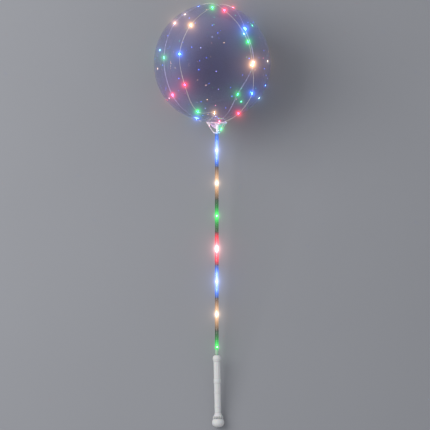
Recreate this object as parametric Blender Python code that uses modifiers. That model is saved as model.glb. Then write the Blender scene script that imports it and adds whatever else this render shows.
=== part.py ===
"""LED lollipop balloon, lying loose: a clear round balloon in a moulded cup on a clear stick, with a
white battery handle and a string of coloured lights that runs up the stick and round the balloon.

It is built upright first, as it is held up: z up the stick from the top of the handle, x to the right
and -y to the front. Then it is laid on its back, so that the front looks up and the stick runs along y.
"""

import math

import bmesh
import bpy
from mathutils import Matrix, Vector

# Clearances between pieces, in metres like every size below
TOUCH_GAP = 0.0003
SLIP_FIT = 0.0004

# Balloon: nearly round, a little fuller below its middle, leaning to the left in its cup
BALLOON_RADIUS = 0.1787
POLE_STRETCH = 0.012
SHOULDER_SWELL = 0.045
BALLOON_LEAN = math.radians(4.4)
FILM_SEAT = 0.0004
FUNNEL_ANGLE = math.radians(8.0)
FUNNEL_DROP = 0.022
FUNNEL_POWER = 3.0
FUNNEL_SHARES = (0.16, 0.34, 0.54, 0.76, 1.0)
TAIL_RADIUS = 0.0042
TAIL_DROP = 0.030
TAIL_EDGE = 0.0010
BALLOON_SIDES = 36
POLAR_STEPS = 16

# Cup: an open-work bowl on a spigot that plugs into the stick
CUP_HEIGHT = 0.0365
CUP_RIM_RADIUS = 0.0315
CUP_BASE_RADIUS = 0.0070
CUP_BULGE = 1.6
CUP_WALL = 0.0014
CUP_FLOOR = 0.0012
RIM_BAND = 0.0032
RIM_PROUD = 0.0008
WINDOWS = 6
RIB_WIDTH = 0.0040
WINDOW_SILL = 0.0055
WINDOW_SPRING = 0.0240
WINDOW_TOP = 0.0320
SPIGOT_LENGTH = 0.014
SPIGOT_WALL = 0.0014
CUP_SIDES = 24
CUP_STEPS = 7

# Stick: a clear tube on a thin sleeve that joins it to the handle
TUBE_RADIUS = 0.00575
TUBE_WALL = 0.0010
TUBE_LENGTH = 0.6566
SLEEVE_SHOWN = 0.0168
SLEEVE_INSERT = 0.012
SLEEVE_WALL = 0.00125
TUBE_SIDES = 16

# Handle: heights run up from its domed end
HANDLE_LENGTH = 0.2210
HANDLE_LEAN = math.radians(1.1)
CAP_HEIGHT = 0.0445
CAP_RADIUS = 0.0186
CAP_WIDEST = 0.0140
CAP_NECK_RADIUS = 0.0100
CAP_FLARE = ((0.0010, 0.0045), (0.0028, 0.0095))
COLLAR_RADIUS = 0.0162
COLLAR_HEIGHT = 0.0285
COLLAR_WIDTH = 0.0024
COLLAR_EDGE = 0.0010
COLLAR_EDGE_STEP = 0.0006
GROOVE_WIDTH = 0.0040
GROOVE_DEPTH = 0.0012
DOME_POWER = 0.8
NOSE_HEIGHT = 0.0205
NOSE_RADIUS = 0.0129
NOSE_WIDEST = 0.0080
NOSE_LIP = 0.0016
NOSE_POWER = 0.7
NOSE_WAIST_HEIGHT = 0.0050
NOSE_WAIST_DEPTH = 0.0008
NOSE_FOOT_HEIGHT = 0.0015
NOSE_FOOT_PROUD = 0.0005
BARREL_LOW_RADIUS = 0.0097
BARREL_TOP_RADIUS = 0.0106
BARREL_PLAIN = 0.0030
CELL_BORE_RADIUS = 0.0078
PLUG_LENGTH = 0.010
CAP_SPIGOT_WALL = 0.0017
CAP_HOLLOW_FLOOR = 0.012
LEAD_HOLE_RADIUS = 0.0026
BAND_HEIGHT, BAND_WIDTH, BAND_PROUD = 0.1412, 0.0130, 0.0008
UPPER_RING_HEIGHT, LOWER_RING_HEIGHT = 0.1061, 0.0619
RING_WIDTH, RING_PROUD = 0.0036, 0.0006
FLUTES = 12
FLUTE_DEPTH = 0.0005
COLLAR_NOTCHES = 16
NOTCH_DEPTH = 0.0014
NOSE_SIDES = 24
BARREL_SIDES = 36
CAP_SIDES = 32

# Light string: a thin wire through small clear drops, one light to a drop
WIRE_RADIUS = 0.0006
LED_RADIUS = 0.0020
LED_END_RADIUS = 0.0013
LED_LENGTH = 0.0070
LED_TAPER = 0.0019
LED_SIDES = 6
STRAIGHT_PAST_LED = 0.0010
LOWEST_LED = 0.0238
TOP_LED_DEPTH = 0.0496
WIRE_START = -0.024
WIRE_STEP = 0.022
CROSSING_LIFT = 0.0030

# The flat spots that it lies on
BALLOON_FLAT = 0.0020
CAP_FLAT = 0.0004
FLOOR_CUTTER = (1.0, 3.0, 0.05)

# The lights in order from the handle: green, warm white, blue and red in turn
LED_COLOURS = ("green", "warm", "blue", "red")
STICK_LEDS = 7

# The string's way from the stick out over the cup's rim, at the back: distance from the stick's axis,
# longitude in degrees from the front towards the right, height above the cup's base. All chosen by hand.
WAY_OUT = (
    (0.0000, 0, -0.0060),
    (0.0025, 160, 0.0025),
    (0.0078, 160, 0.0085),
    (0.0160, 160, 0.0165),
    (0.0235, 160, 0.0265),
    (0.0268, 161, 0.0340),
    (0.0291, 162, 0.0382),
    (0.0335, 163, 0.0390),
)

# Its way round the balloon: polar angle from the far end and longitude in degrees, with the light on it.
# None marks the place where it crosses over itself. All chosen by hand.
ROUND_BALLOON = (
    (167.0, 166, "led"),
    (123.0, 153, "led"),
    (92.0, 136, "led"),
    (58.0, 135, "led"),
    (27.0, 113, "led"),
    (24.0, 10, "led"),
    (50.0, -24, "led"),
    (80.0, -33, "led"),
    (110.0, -31, "led"),
    (142.5, -30, "led"),
    (147.5, -3, "led"),
    (156.0, -125, "led"),
    (119.0, -127, "led"),
    (81.0, -125, "led"),
    (44.0, -124, "led"),
    (15.0, -144, "led"),
    (18.0, 30, None),
    (32.0, 31, "led"),
    (73.0, 41, "led"),
    (96.0, 42, "led"),
    (124.0, 48, "led"),
    (151.0, 50, "led"),
)

# Its way back into the cup, at the right, to its last light, as in WAY_OUT.
WAY_IN = (
    (0.0370, 54, 0.0392),
    (0.0330, 54, 0.0390),
    (0.0291, 54, 0.0382),
    (0.0268, 53, 0.0340),
    (0.0235, 52, 0.0265),
    (0.0195, 52, 0.0195),
)
LAST_LED = (0.0160, 52, 0.0145)
WIRE_END = (0.0112, 50, 0.0098)

# Colours, linear
WHITE_PLASTIC = (0.80, 0.80, 0.78, 1.0)
CLEAR_FILM = (0.80, 0.78, 0.92, 1.0)
CLEAR_PLASTIC = (0.82, 0.84, 0.88, 1.0)
FROSTED_PLASTIC = (0.60, 0.68, 0.62, 1.0)
WIRE_METAL = (0.62, 0.58, 0.52, 1.0)
LED_TINTS = {
    "green": (0.02, 0.75, 0.12, 1.0),
    "warm": (1.00, 0.62, 0.25, 1.0),
    "blue": (0.03, 0.18, 1.00, 1.0),
    "red": (1.00, 0.03, 0.05, 1.0),
}

# Worked out from the sizes above
TUBE_BORE = TUBE_RADIUS - TUBE_WALL
SLEEVE_RADIUS = TUBE_BORE - SLIP_FIT
SPIGOT_RADIUS = TUBE_BORE - SLIP_FIT
TUBE_BOTTOM = SLEEVE_SHOWN
TUBE_TOP = TUBE_BOTTOM + TUBE_LENGTH
CUP_BASE = TUBE_TOP + TOUCH_GAP
LED_PITCH = (TUBE_TOP - TOP_LED_DEPTH - LOWEST_LED) / (STICK_LEDS - 1)
CAP_SPIGOT_RADIUS = CELL_BORE_RADIUS - SLIP_FIT


def clear_scene():
    for thing in list(bpy.data.objects):
        bpy.data.objects.remove(thing, do_unlink=True)


def new_collection(name):
    collection = bpy.data.collections.new(name)
    bpy.context.scene.collection.children.link(collection)
    return collection


def new_material(name, colour, roughness, metallic=0.0, transmission=0.0):
    material = bpy.data.materials.new(name)
    material.diffuse_color = colour
    material.use_nodes = True
    shader = material.node_tree.nodes["Principled BSDF"]
    shader.inputs["Base Color"].default_value = colour
    shader.inputs["Roughness"].default_value = roughness
    shader.inputs["Metallic"].default_value = metallic
    shader.inputs["Transmission Weight"].default_value = transmission
    return material


def led_material(colour_name):
    tint = LED_TINTS[colour_name]
    material = new_material("LED " + colour_name, tint, 0.2)
    shader = material.node_tree.nodes["Principled BSDF"]
    shader.inputs["Emission Color"].default_value = tint
    shader.inputs["Emission Strength"].default_value = 4.0
    return material


def place(thing, collection, parent, location=(0, 0, 0), rotation=(0, 0, 0)):
    collection.objects.link(thing)
    thing.parent = parent
    thing.location = location
    thing.rotation_euler = rotation


def new_empty(name, collection, parent=None, location=(0, 0, 0), rotation=(0, 0, 0)):
    empty = bpy.data.objects.new(name, None)
    place(empty, collection, parent, location, rotation)
    return empty


def evaluated_mesh(thing):
    graph = bpy.context.evaluated_depsgraph_get()
    return bpy.data.meshes.new_from_object(thing.evaluated_get(graph))


def turned(name, profile, sides, material):
    """A turned piece about z. The profile is a list of (radius, height), down the outside first. One that
    starts on the axis ends on it too, and any other is closed, for a piece with a bore."""
    mesh = bpy.data.meshes.new(name)
    count = len(profile)
    edges = [(i, i + 1) for i in range(count - 1)]
    if profile[0][0] > 0:
        edges.append((count - 1, 0))
    mesh.from_pydata([(radius, 0, height) for radius, height in profile], edges, [])
    mesh.materials.append(material)
    thing = bpy.data.objects.new(name, mesh)
    screw = thing.modifiers.new("Turn", "SCREW")
    screw.steps = screw.render_steps = sides
    screw.use_merge_vertices = True
    screw.merge_threshold = 0.00001
    screw.use_smooth_shade = True
    return thing


def cut_with(thing, cutter):
    cut = thing.modifiers.new("Cut " + cutter.name, "BOOLEAN")
    cut.operation = "DIFFERENCE"
    cut.object = cutter


def mark_as_cutter(thing):
    thing.hide_render = True
    thing.display_type = "WIRE"


def polar_offset(radius, longitude, height):
    """A point at a distance from the stick's axis, longitude in degrees from the front to the right."""
    turn = math.radians(longitude)
    return Vector((radius * math.sin(turn), -radius * math.cos(turn), height))


# Balloon


def film_radius(polar):
    """Distance of the film from the balloon's centre, at an angle from its far end."""
    along, across = math.cos(polar), math.sin(polar)
    swell = SHOULDER_SWELL * across**2 * max(0.0, -along)
    return BALLOON_RADIUS * (1 + POLE_STRETCH * along**2 + swell)


NEAR_POLE = film_radius(math.pi)


def balloon_frame():
    """The balloon's own frame: its centre, and z through its far end. Its near end lies over the cup."""
    pole = Vector((0, 0, CUP_BASE + CUP_HEIGHT + FILM_SEAT))
    lean = Matrix.Rotation(-BALLOON_LEAN, 4, "Y")
    centre = pole + lean @ Vector((0, 0, NEAR_POLE))
    return Matrix.Translation(centre) @ lean


def balloon_profile():
    points = []
    for i in range(POLAR_STEPS + 1):
        polar = (math.pi - FUNNEL_ANGLE) * i / POLAR_STEPS
        radius = film_radius(polar)
        points.append((radius * math.sin(polar), radius * math.cos(polar)))
    mouth_radius, mouth_height = points[-1]
    fall = FUNNEL_DROP + mouth_height + NEAR_POLE
    for share in FUNNEL_SHARES:
        flare = (mouth_radius - TAIL_RADIUS) * (1 - share) ** FUNNEL_POWER
        points.append((TAIL_RADIUS + flare, mouth_height - fall * share))
    tail_end = -NEAR_POLE - TAIL_DROP
    points += [(TAIL_RADIUS, tail_end + TAIL_EDGE), (TAIL_RADIUS - TAIL_EDGE, tail_end), (0, tail_end)]
    points[0] = (0, points[0][1])
    return points


def make_balloon(parts, upright, floor):
    film = new_material("Clear film", CLEAR_FILM, 0.05, transmission=0.9)
    balloon = turned("balloon", balloon_profile(), BALLOON_SIDES, film)
    frame = balloon_frame()
    place(balloon, parts, upright, frame.to_translation(), frame.to_euler())
    cut_with(balloon, floor)


# Cup


def cup_radius(height):
    """Outer radius of the bowl at a height above its base."""
    rise = 1 - (1 - height / CUP_HEIGHT) ** CUP_BULGE
    return CUP_BASE_RADIUS + (CUP_RIM_RADIUS - CUP_BASE_RADIUS) * rise


def cup_inner_radius(height):
    """Inner radius: the wall's thickness is measured square to its slope."""
    step = 0.0001
    slope = (cup_radius(height) - cup_radius(height - step)) / step
    return cup_radius(height) - CUP_WALL * math.hypot(1, slope)


def cup_profile():
    band = CUP_HEIGHT - RIM_BAND
    proud = CUP_RIM_RADIUS + RIM_PROUD
    heights = [band * (i / CUP_STEPS) for i in range(CUP_STEPS, 0, -1)]
    outside = [(proud, CUP_HEIGHT), (proud, band)]
    outside += [(cup_radius(height), height) for height in heights]
    outside += [(CUP_BASE_RADIUS, 0), (SPIGOT_RADIUS, 0), (SPIGOT_RADIUS, -SPIGOT_LENGTH)]
    bore = SPIGOT_RADIUS - SPIGOT_WALL
    inside = [(bore, -SPIGOT_LENGTH), (bore, CUP_FLOOR)]
    inside += [(cup_inner_radius(height), height) for height in reversed(heights[:-1])]
    return outside + inside + [(CUP_RIM_RADIUS - CUP_WALL, CUP_HEIGHT)]


def window_outline():
    """Outline of one window, half-width against height: sides that leave an even rib, an arch on top."""

    def half_width(height):
        return cup_radius(height) * math.sin(math.pi / WINDOWS) - RIB_WIDTH / 2

    sides = [WINDOW_SILL + (WINDOW_SPRING - WINDOW_SILL) * i / 3 for i in range(4)]
    right = [(half_width(height), height) for height in sides]
    for degrees in (30, 60):
        angle = math.radians(degrees)
        rise = (WINDOW_TOP - WINDOW_SPRING) * math.sin(angle)
        right.append((half_width(WINDOW_SPRING) * math.cos(angle), WINDOW_SPRING + rise))
    left = [(-width, height) for width, height in reversed(right)]
    return right + [(0, WINDOW_TOP)] + left


def make_window_cutters(cutters, upright):
    outline = window_outline()
    reach_in, reach_out = CUP_BASE_RADIUS, CUP_RIM_RADIUS + CUP_BASE_RADIUS
    made = []
    for i in range(WINDOWS):
        turn = 2 * math.pi * (i + 0.5) / WINDOWS
        mesh = bpy.data.meshes.new("window_cutter")
        bm = bmesh.new()
        face = bm.faces.new([bm.verts.new((x, -reach_in, z)) for x, z in outline])
        grown = bmesh.ops.extrude_face_region(bm, geom=[face])["geom"]
        moved = [item for item in grown if isinstance(item, bmesh.types.BMVert)]
        bmesh.ops.translate(bm, verts=moved, vec=(0, reach_in - reach_out, 0))
        bmesh.ops.recalc_face_normals(bm, faces=bm.faces)
        bm.to_mesh(mesh)
        bm.free()
        cutter = bpy.data.objects.new("window_cutter_%d" % (i + 1), mesh)
        place(cutter, cutters, upright, (0, 0, CUP_BASE), (0, 0, turn))
        mark_as_cutter(cutter)
        made.append(cutter)
    return made


def make_cup(parts, cutters, upright):
    clear = new_material("Clear plastic", CLEAR_PLASTIC, 0.08, transmission=0.9)
    cup = turned("balloon_cup", cup_profile(), CUP_SIDES, clear)
    place(cup, parts, upright, (0, 0, CUP_BASE))
    for cutter in make_window_cutters(cutters, upright):
        cut_with(cup, cutter)


# Stick


def pipe_profile(outer, inner, low, high):
    return [(outer, high), (outer, low), (inner, low), (inner, high)]


def make_stick(parts, upright):
    clear = new_material("Clear tube", CLEAR_PLASTIC, 0.06, transmission=0.9)
    tube = turned("stick_tube", pipe_profile(TUBE_RADIUS, TUBE_BORE, 0, TUBE_LENGTH), TUBE_SIDES, clear)
    place(tube, parts, upright, (0, 0, TUBE_BOTTOM))
    frosted = new_material("Frosted sleeve", FROSTED_PLASTIC, 0.4, transmission=0.4)
    low, high = -SLEEVE_INSERT, SLEEVE_SHOWN + SLEEVE_INSERT
    profile = pipe_profile(SLEEVE_RADIUS, SLEEVE_RADIUS - SLEEVE_WALL, low, high)
    place(turned("stick_sleeve", profile, TUBE_SIDES, frosted), parts, upright)


# Handle


def barrel_radius(height):
    low, high = CAP_HEIGHT, HANDLE_LENGTH - NOSE_HEIGHT
    share = (height - low) / (high - low)
    return BARREL_LOW_RADIUS + (BARREL_TOP_RADIUS - BARREL_LOW_RADIUS) * share


def raised_ring(height, width, proud):
    """A ring round the barrel, down its outer side, with a short slope at each edge."""
    half = width / 2
    return [
        (barrel_radius(height + half), height + half),
        (barrel_radius(height) + proud, height + half - proud),
        (barrel_radius(height) + proud, height - half + proud),
        (barrel_radius(height - half), height - half),
    ]


def scalloped(thing, low, high, count, depth, least_radius):
    """Presses grooves into a turned piece, between two heights and outside a radius."""
    mesh = evaluated_mesh(thing)
    for vertex in mesh.vertices:
        x, y, z = vertex.co
        radius = math.hypot(x, y)
        if low < z < high and radius > least_radius:
            dip = depth * max(0.0, math.cos(count * math.atan2(y, x))) ** 2
            vertex.co = (x * (1 - dip / radius), y * (1 - dip / radius), z)
    fluted = bpy.data.objects.new(thing.name, mesh)
    name = thing.name
    bpy.data.objects.remove(thing, do_unlink=True)
    fluted.name = name
    return fluted


def make_barrel(parts, handle, white):
    """The barrel: three fluted stretches, which stop short of the band, the rings and the upper end."""
    low, high = CAP_HEIGHT + TOUCH_GAP, HANDLE_LENGTH - NOSE_HEIGHT - TOUCH_GAP
    profile = [(barrel_radius(high), high)]
    stretches = []
    top = high - BARREL_PLAIN
    for height, width, proud in (
        (BAND_HEIGHT, BAND_WIDTH, BAND_PROUD),
        (UPPER_RING_HEIGHT, RING_WIDTH, RING_PROUD),
        (LOWER_RING_HEIGHT, RING_WIDTH, RING_PROUD),
    ):
        bottom = height + width / 2 + BARREL_PLAIN
        profile += [(barrel_radius(top), top), (barrel_radius(bottom), bottom)]
        profile += raised_ring(height, width, proud)
        stretches.append((bottom, top))
        top = height - width / 2 - BARREL_PLAIN
    profile += [(barrel_radius(low), low), (CELL_BORE_RADIUS, low), (CELL_BORE_RADIUS, high)]
    barrel = turned("handle_barrel", profile, BARREL_SIDES, white)
    parts.objects.link(barrel)
    for bottom, top in stretches:
        wall = (CELL_BORE_RADIUS + BARREL_LOW_RADIUS) / 2
        barrel = scalloped(barrel, bottom - TOUCH_GAP, top + TOUCH_GAP, FLUTES, FLUTE_DEPTH, wall)
        parts.objects.link(barrel)
    barrel.parent = handle


def cap_profile():
    """The end cap, down its outer side: neck, flare, notched collar, groove and a domed bulb."""
    outside = [(CAP_NECK_RADIUS, CAP_HEIGHT)]
    outside += [(CAP_NECK_RADIUS + wider, CAP_HEIGHT - lower) for wider, lower in CAP_FLARE]
    half = COLLAR_WIDTH / 2
    groove = COLLAR_HEIGHT - half - GROOVE_WIDTH / 2
    shoulder = COLLAR_HEIGHT - half - GROOVE_WIDTH
    outside += [
        (COLLAR_RADIUS - COLLAR_EDGE_STEP, COLLAR_HEIGHT + half + COLLAR_EDGE),
        (COLLAR_RADIUS, COLLAR_HEIGHT + half),
        (COLLAR_RADIUS, COLLAR_HEIGHT - half),
        (COLLAR_RADIUS - GROOVE_DEPTH, groove),
        (COLLAR_RADIUS, shoulder),
    ]
    for degrees in (30, 60, 90):
        swell = math.sin(math.radians(degrees))
        radius = COLLAR_RADIUS + (CAP_RADIUS - COLLAR_RADIUS) * swell
        outside.append((radius, shoulder + (CAP_WIDEST - shoulder) * degrees / 90))
    for degrees in (22, 44, 62, 76):
        angle = math.radians(degrees)
        outside.append((CAP_RADIUS * math.cos(angle) ** DOME_POWER, CAP_WIDEST * (1 - math.sin(angle))))
    return outside + [(0, 0)]


def make_cap(parts, handle, white):
    outside = cap_profile()
    spigot_top = CAP_HEIGHT + PLUG_LENGTH
    hollow = CAP_SPIGOT_RADIUS - CAP_SPIGOT_WALL
    rim = [(0, CAP_HOLLOW_FLOOR), (hollow, CAP_HOLLOW_FLOOR), (hollow, spigot_top)]
    rim += [(CAP_SPIGOT_RADIUS, spigot_top), (CAP_SPIGOT_RADIUS, CAP_HEIGHT)]
    cap = turned("handle_end_cap", rim + outside, CAP_SIDES, white)
    parts.objects.link(cap)
    reach = COLLAR_WIDTH / 2 + TOUCH_GAP
    low, high = COLLAR_HEIGHT - reach, COLLAR_HEIGHT + reach + COLLAR_EDGE
    cap = scalloped(cap, low, high, COLLAR_NOTCHES, NOTCH_DEPTH, CAP_SPIGOT_RADIUS)
    parts.objects.link(cap)
    cap.parent = handle
    return cap


def nose_profile():
    low, high = HANDLE_LENGTH - NOSE_HEIGHT, HANDLE_LENGTH
    middle = low + NOSE_WIDEST
    bore = SLEEVE_RADIUS + SLIP_FIT
    outside = [(bore + NOSE_LIP, high)]
    for degrees in (72, 54, 36, 18):
        angle = math.radians(degrees)
        radius = NOSE_RADIUS * math.cos(angle) ** NOSE_POWER
        outside.append((radius, middle + (high - middle) * math.sin(angle)))
    outside += [
        (NOSE_RADIUS, middle),
        (NOSE_RADIUS - NOSE_WAIST_DEPTH, low + NOSE_WAIST_HEIGHT),
        (BARREL_TOP_RADIUS + NOSE_FOOT_PROUD, low + NOSE_FOOT_HEIGHT),
        (BARREL_TOP_RADIUS, low),
    ]
    plug = CELL_BORE_RADIUS - SLIP_FIT
    seat = high - SLEEVE_INSERT - SLIP_FIT
    inside = [
        (plug, low),
        (plug, low - PLUG_LENGTH),
        (LEAD_HOLE_RADIUS, low - PLUG_LENGTH),
        (LEAD_HOLE_RADIUS, seat),
        (bore, seat),
        (bore, high),
    ]
    return outside + inside


def make_nose(parts, handle, white):
    nose = turned("handle_nose", nose_profile(), NOSE_SIDES, white)
    place(nose, parts, handle)


def make_handle(parts, upright, floor):
    white = new_material("White plastic", WHITE_PLASTIC, 0.35)
    lean = Matrix.Rotation(-HANDLE_LEAN, 3, "Y")
    end = lean @ Vector((0, 0, -HANDLE_LENGTH))
    handle = new_empty("handle_axis", parts, upright, end, lean.to_euler())
    make_nose(parts, handle, white)
    make_barrel(parts, handle, white)
    cut_with(make_cap(parts, handle, white), floor)


# Light string


def on_balloon(polar, longitude, lift):
    """A point above the film, in the upright frame."""
    angle = math.radians(polar)
    offset = polar_offset(math.sin(angle), longitude, math.cos(angle))
    return balloon_frame() @ (offset * (film_radius(angle) + lift))


def off_film(point, lift):
    """The point, moved straight out from the balloon's centre where it is nearer to the film than lift."""
    frame = balloon_frame()
    inside = frame.inverted() @ point
    polar = inside.angle(Vector((0, 0, 1)))
    if polar > math.pi - FUNNEL_ANGLE:
        return point
    least = film_radius(polar) + lift
    return point if inside.length >= least else frame @ (inside * (least / inside.length))


def string_stops():
    """The string's stops in order: (point, True where a light sits)."""
    cup = Vector((0, 0, CUP_BASE))
    bead_lift = LED_RADIUS + TOUCH_GAP
    stops = [(Vector((0, 0, WIRE_START)), False)]
    for i in range(STICK_LEDS):
        stops.append((Vector((0, 0, LOWEST_LED + LED_PITCH * i)), True))
    stops += [(cup + polar_offset(*stop), False) for stop in WAY_OUT]
    for polar, longitude, what in ROUND_BALLOON:
        lift = bead_lift if what else CROSSING_LIFT
        stops.append((on_balloon(polar, longitude, lift), bool(what)))
    stops += [(cup + polar_offset(*stop), False) for stop in WAY_IN]
    stops.append((cup + polar_offset(*LAST_LED), True))
    stops.append((cup + polar_offset(*WIRE_END), False))
    return stops


def smooth_point(before, start, end, after, share):
    """A point on the smooth curve from start to end, which also heeds the stops beside them."""
    a, b = (end - before) / 2, (after - start) / 2
    s2, s3 = share**2, share**3
    return (
        start * (2 * s3 - 3 * s2 + 1) + a * (s3 - 2 * s2 + share) + end * (3 * s2 - 2 * s3) + b * (s3 - s2)
    )


def string_route():
    """The wire's points in order, and for each light its place and its direction."""
    stops = string_stops()
    places = [stop[0] for stop in stops]
    lift = WIRE_RADIUS + TOUCH_GAP + WIRE_STEP**2 / (8 * BALLOON_RADIUS)
    wire, lights = [], []
    for i, (place_now, has_light) in enumerate(stops):
        before, after = places[max(i - 1, 0)], places[min(i + 1, len(places) - 1)]
        along = (after - before).normalized()
        if has_light:
            run = along * (LED_LENGTH / 2 + STRAIGHT_PAST_LED)
            wire += [place_now - run, place_now + run]
            lights.append((place_now, along))
        else:
            wire.append(place_now)
        in_stick = after.z < CUP_BASE
        if i + 1 < len(stops) and not in_stick:
            further = places[min(i + 2, len(places) - 1)]
            steps = max(1, round((after - place_now).length / WIRE_STEP))
            for k in range(1, steps):
                point = smooth_point(before, place_now, after, further, k / steps)
                wire.append(off_film(point, lift))
    return wire, lights


def make_wire(parts, upright, points):
    curve = bpy.data.curves.new("light_string_wire", "CURVE")
    curve.dimensions = "3D"
    curve.bevel_depth = WIRE_RADIUS
    curve.bevel_resolution = 1
    curve.render_resolution_u = 0
    curve.use_fill_caps = True
    spline = curve.splines.new("POLY")
    spline.points.add(len(points) - 1)
    for target, point in zip(spline.points, points):
        target.co = (*point, 1)
    curve.materials.append(new_material("String wire", WIRE_METAL, 0.4, metallic=0.8))
    place(bpy.data.objects.new("light_string_wire", curve), parts, upright)


def led_profile():
    """One drop along z, with a bore that clears the wire."""
    half, bore = LED_LENGTH / 2, WIRE_RADIUS + SLIP_FIT
    return [
        (LED_END_RADIUS, half),
        (LED_RADIUS, half - LED_TAPER),
        (LED_RADIUS, LED_TAPER - half),
        (LED_END_RADIUS, -half),
        (bore, -half),
        (bore, half),
    ]


def make_lights(parts, upright, lights):
    drops = {}
    for colour_name in LED_COLOURS:
        material = led_material(colour_name)
        pattern = turned("led_" + colour_name, led_profile(), LED_SIDES, material)
        parts.objects.link(pattern)
        drops[colour_name] = evaluated_mesh(pattern)
        bpy.data.objects.remove(pattern, do_unlink=True)
    for i, (where, along) in enumerate(lights):
        colour_name = LED_COLOURS[i % len(LED_COLOURS)]
        drop = bpy.data.objects.new("led_%02d" % (i + 1), drops[colour_name])
        place(drop, parts, upright, where, along.to_track_quat("Z", "Y").to_euler())


# Lying down


def lying_pose():
    """How far the upright object turns back to lie on the balloon and the end cap, and its height then."""
    balloon_along = balloon_frame().to_translation().z
    cap_along = -(HANDLE_LENGTH - CAP_WIDEST) * math.cos(HANDLE_LEAN)
    balloon_rest = BALLOON_RADIUS - BALLOON_FLAT
    cap_rest = CAP_RADIUS - CAP_FLAT
    tilt = math.asin((balloon_rest - cap_rest) / (balloon_along - cap_along))
    return tilt, cap_rest - cap_along * math.sin(tilt)


def make_floor_cutter(cutters):
    width, length, depth = FLOOR_CUTTER
    bpy.ops.mesh.primitive_cube_add(size=1, location=(0, 0, -depth / 2))
    floor = bpy.context.object
    floor.name = "floor_cutter"
    floor.scale = (width, length, depth)
    bpy.ops.object.transform_apply(location=False, rotation=False, scale=True)
    for collection in list(floor.users_collection):
        collection.objects.unlink(floor)
    cutters.objects.link(floor)
    mark_as_cutter(floor)
    return floor


def centre_over_origin(parts, upright):
    """Moves the whole object so that its box stands centred over the origin."""
    bpy.context.view_layer.update()
    points = []
    for thing in parts.objects:
        if thing.type != "EMPTY":
            mesh = evaluated_mesh(thing)
            points += [thing.matrix_world @ vertex.co for vertex in mesh.vertices]
            bpy.data.meshes.remove(mesh)
    for axis in (0, 1):
        reach = [point[axis] for point in points]
        upright.location[axis] -= (min(reach) + max(reach)) / 2


def build():
    clear_scene()
    parts = new_collection("LED lollipop balloon")
    cutters = new_collection("Cutters")
    tilt, height = lying_pose()
    upright = new_empty("upright_frame", parts, None, (0, 0, height), (tilt - math.pi / 2, 0, 0))
    floor = make_floor_cutter(cutters)
    make_balloon(parts, upright, floor)
    make_cup(parts, cutters, upright)
    make_stick(parts, upright)
    make_handle(parts, upright, floor)
    points, lights = string_route()
    make_wire(parts, upright, points)
    make_lights(parts, upright, lights)
    centre_over_origin(parts, upright)


build()
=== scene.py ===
"""LED lollipop balloon, lying loose on a plain floor: a clear bubble balloon in a moulded cup on a lit clear
stick, wound with a string of coloured lights, with a white battery handle.

Every piece is shaped upright, as the balloon is held up (z up the stick, x to the right, -y to the front),
and is then laid down with the whole object. Sizes are in metres."""

import math

import bpy
from bpy.props import FloatProperty, FloatVectorProperty, IntProperty, PointerProperty
from mathutils import Matrix, Vector


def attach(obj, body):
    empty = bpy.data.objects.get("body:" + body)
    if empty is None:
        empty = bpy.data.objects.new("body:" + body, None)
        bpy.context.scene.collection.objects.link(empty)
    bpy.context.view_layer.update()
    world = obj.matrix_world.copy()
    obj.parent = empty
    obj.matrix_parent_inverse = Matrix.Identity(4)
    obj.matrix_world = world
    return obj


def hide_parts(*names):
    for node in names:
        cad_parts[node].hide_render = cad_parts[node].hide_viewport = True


bl_info = {
    "name": "LED lollipop balloon",
    "version": (1, 0, 0),
    "blender": (4, 5, 0),
    "location": "3D View > Sidebar > Balloon",
    "description": "Builds a lit bubble balloon on a stick, piece by piece",
    "category": "Object",
}

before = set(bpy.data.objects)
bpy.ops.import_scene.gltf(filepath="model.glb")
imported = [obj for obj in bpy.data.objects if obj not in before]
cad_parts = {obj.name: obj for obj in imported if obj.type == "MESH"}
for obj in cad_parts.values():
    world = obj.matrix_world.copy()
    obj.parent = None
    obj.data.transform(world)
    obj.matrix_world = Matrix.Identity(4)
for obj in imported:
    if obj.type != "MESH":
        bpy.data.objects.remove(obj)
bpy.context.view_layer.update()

# Clearances between pieces
TOUCH_GAP = 0.0003
SLIP_FIT = 0.0004

# Points nearer than this are joined, and edges steeper than this stay sharp
MERGE_DISTANCE = 1e-6
SHARP_ANGLE = math.radians(40)

# Balloon
BALLOON_RADIUS = 0.1787
POLE_STRETCH = 0.012
SHOULDER_SWELL = 0.045
BALLOON_LEAN = math.radians(4.4)
BALLOON_FLAT = 0.0020
FILM_SEAT = 0.0004
# The smooth film stays inside the faceted solid that it stands for
FILM_INSET = 0.0008
FUNNEL_ANGLE = math.radians(8.0)
FUNNEL_DROP = 0.022
# Fuller than the solid, as slack film is
FUNNEL_POWER = 0.6
TAIL_RADIUS = 0.0042
TAIL_DROP = 0.030
TAIL_EDGE = 0.0010
FILM_ROWS = 72
FUNNEL_ROWS = 14
# The neck's gathers start at one radius, are full nearer the axis, and draw the film in by a share of its
# radius, step by step. Each gather has this many of the film's sides.
GATHER_START = 0.052
GATHER_FADE = 0.036
GATHER_DEPTH = 0.16
GATHER_STEPS = 12
GATHER_SIDES = 6

# Cup
CUP_HEIGHT = 0.0365
CUP_RIM_RADIUS = 0.0315
CUP_BASE_RADIUS = 0.0070
CUP_BULGE = 1.6
CUP_WALL = 0.0014
CUP_FLOOR = 0.0012
RIM_BAND = 0.0032
RIM_PROUD = 0.0008
WINDOWS = 6
RIB_WIDTH = 0.0040
WINDOW_SILL = 0.0055
WINDOW_SPRING = 0.0240
WINDOW_TOP = 0.0320
SPIGOT_LENGTH = 0.014
SPIGOT_WALL = 0.0014
CUP_SIDES = 96
CUP_ROWS = 20
WINDOW_ROWS = 8

# Stick
TUBE_RADIUS = 0.00575
TUBE_WALL = 0.0010
TUBE_LENGTH = 0.6566
SLEEVE_SHOWN = 0.0168
SLEEVE_INSERT = 0.012
SLEEVE_WALL = 0.00125
STICK_SIDES = 48

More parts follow.
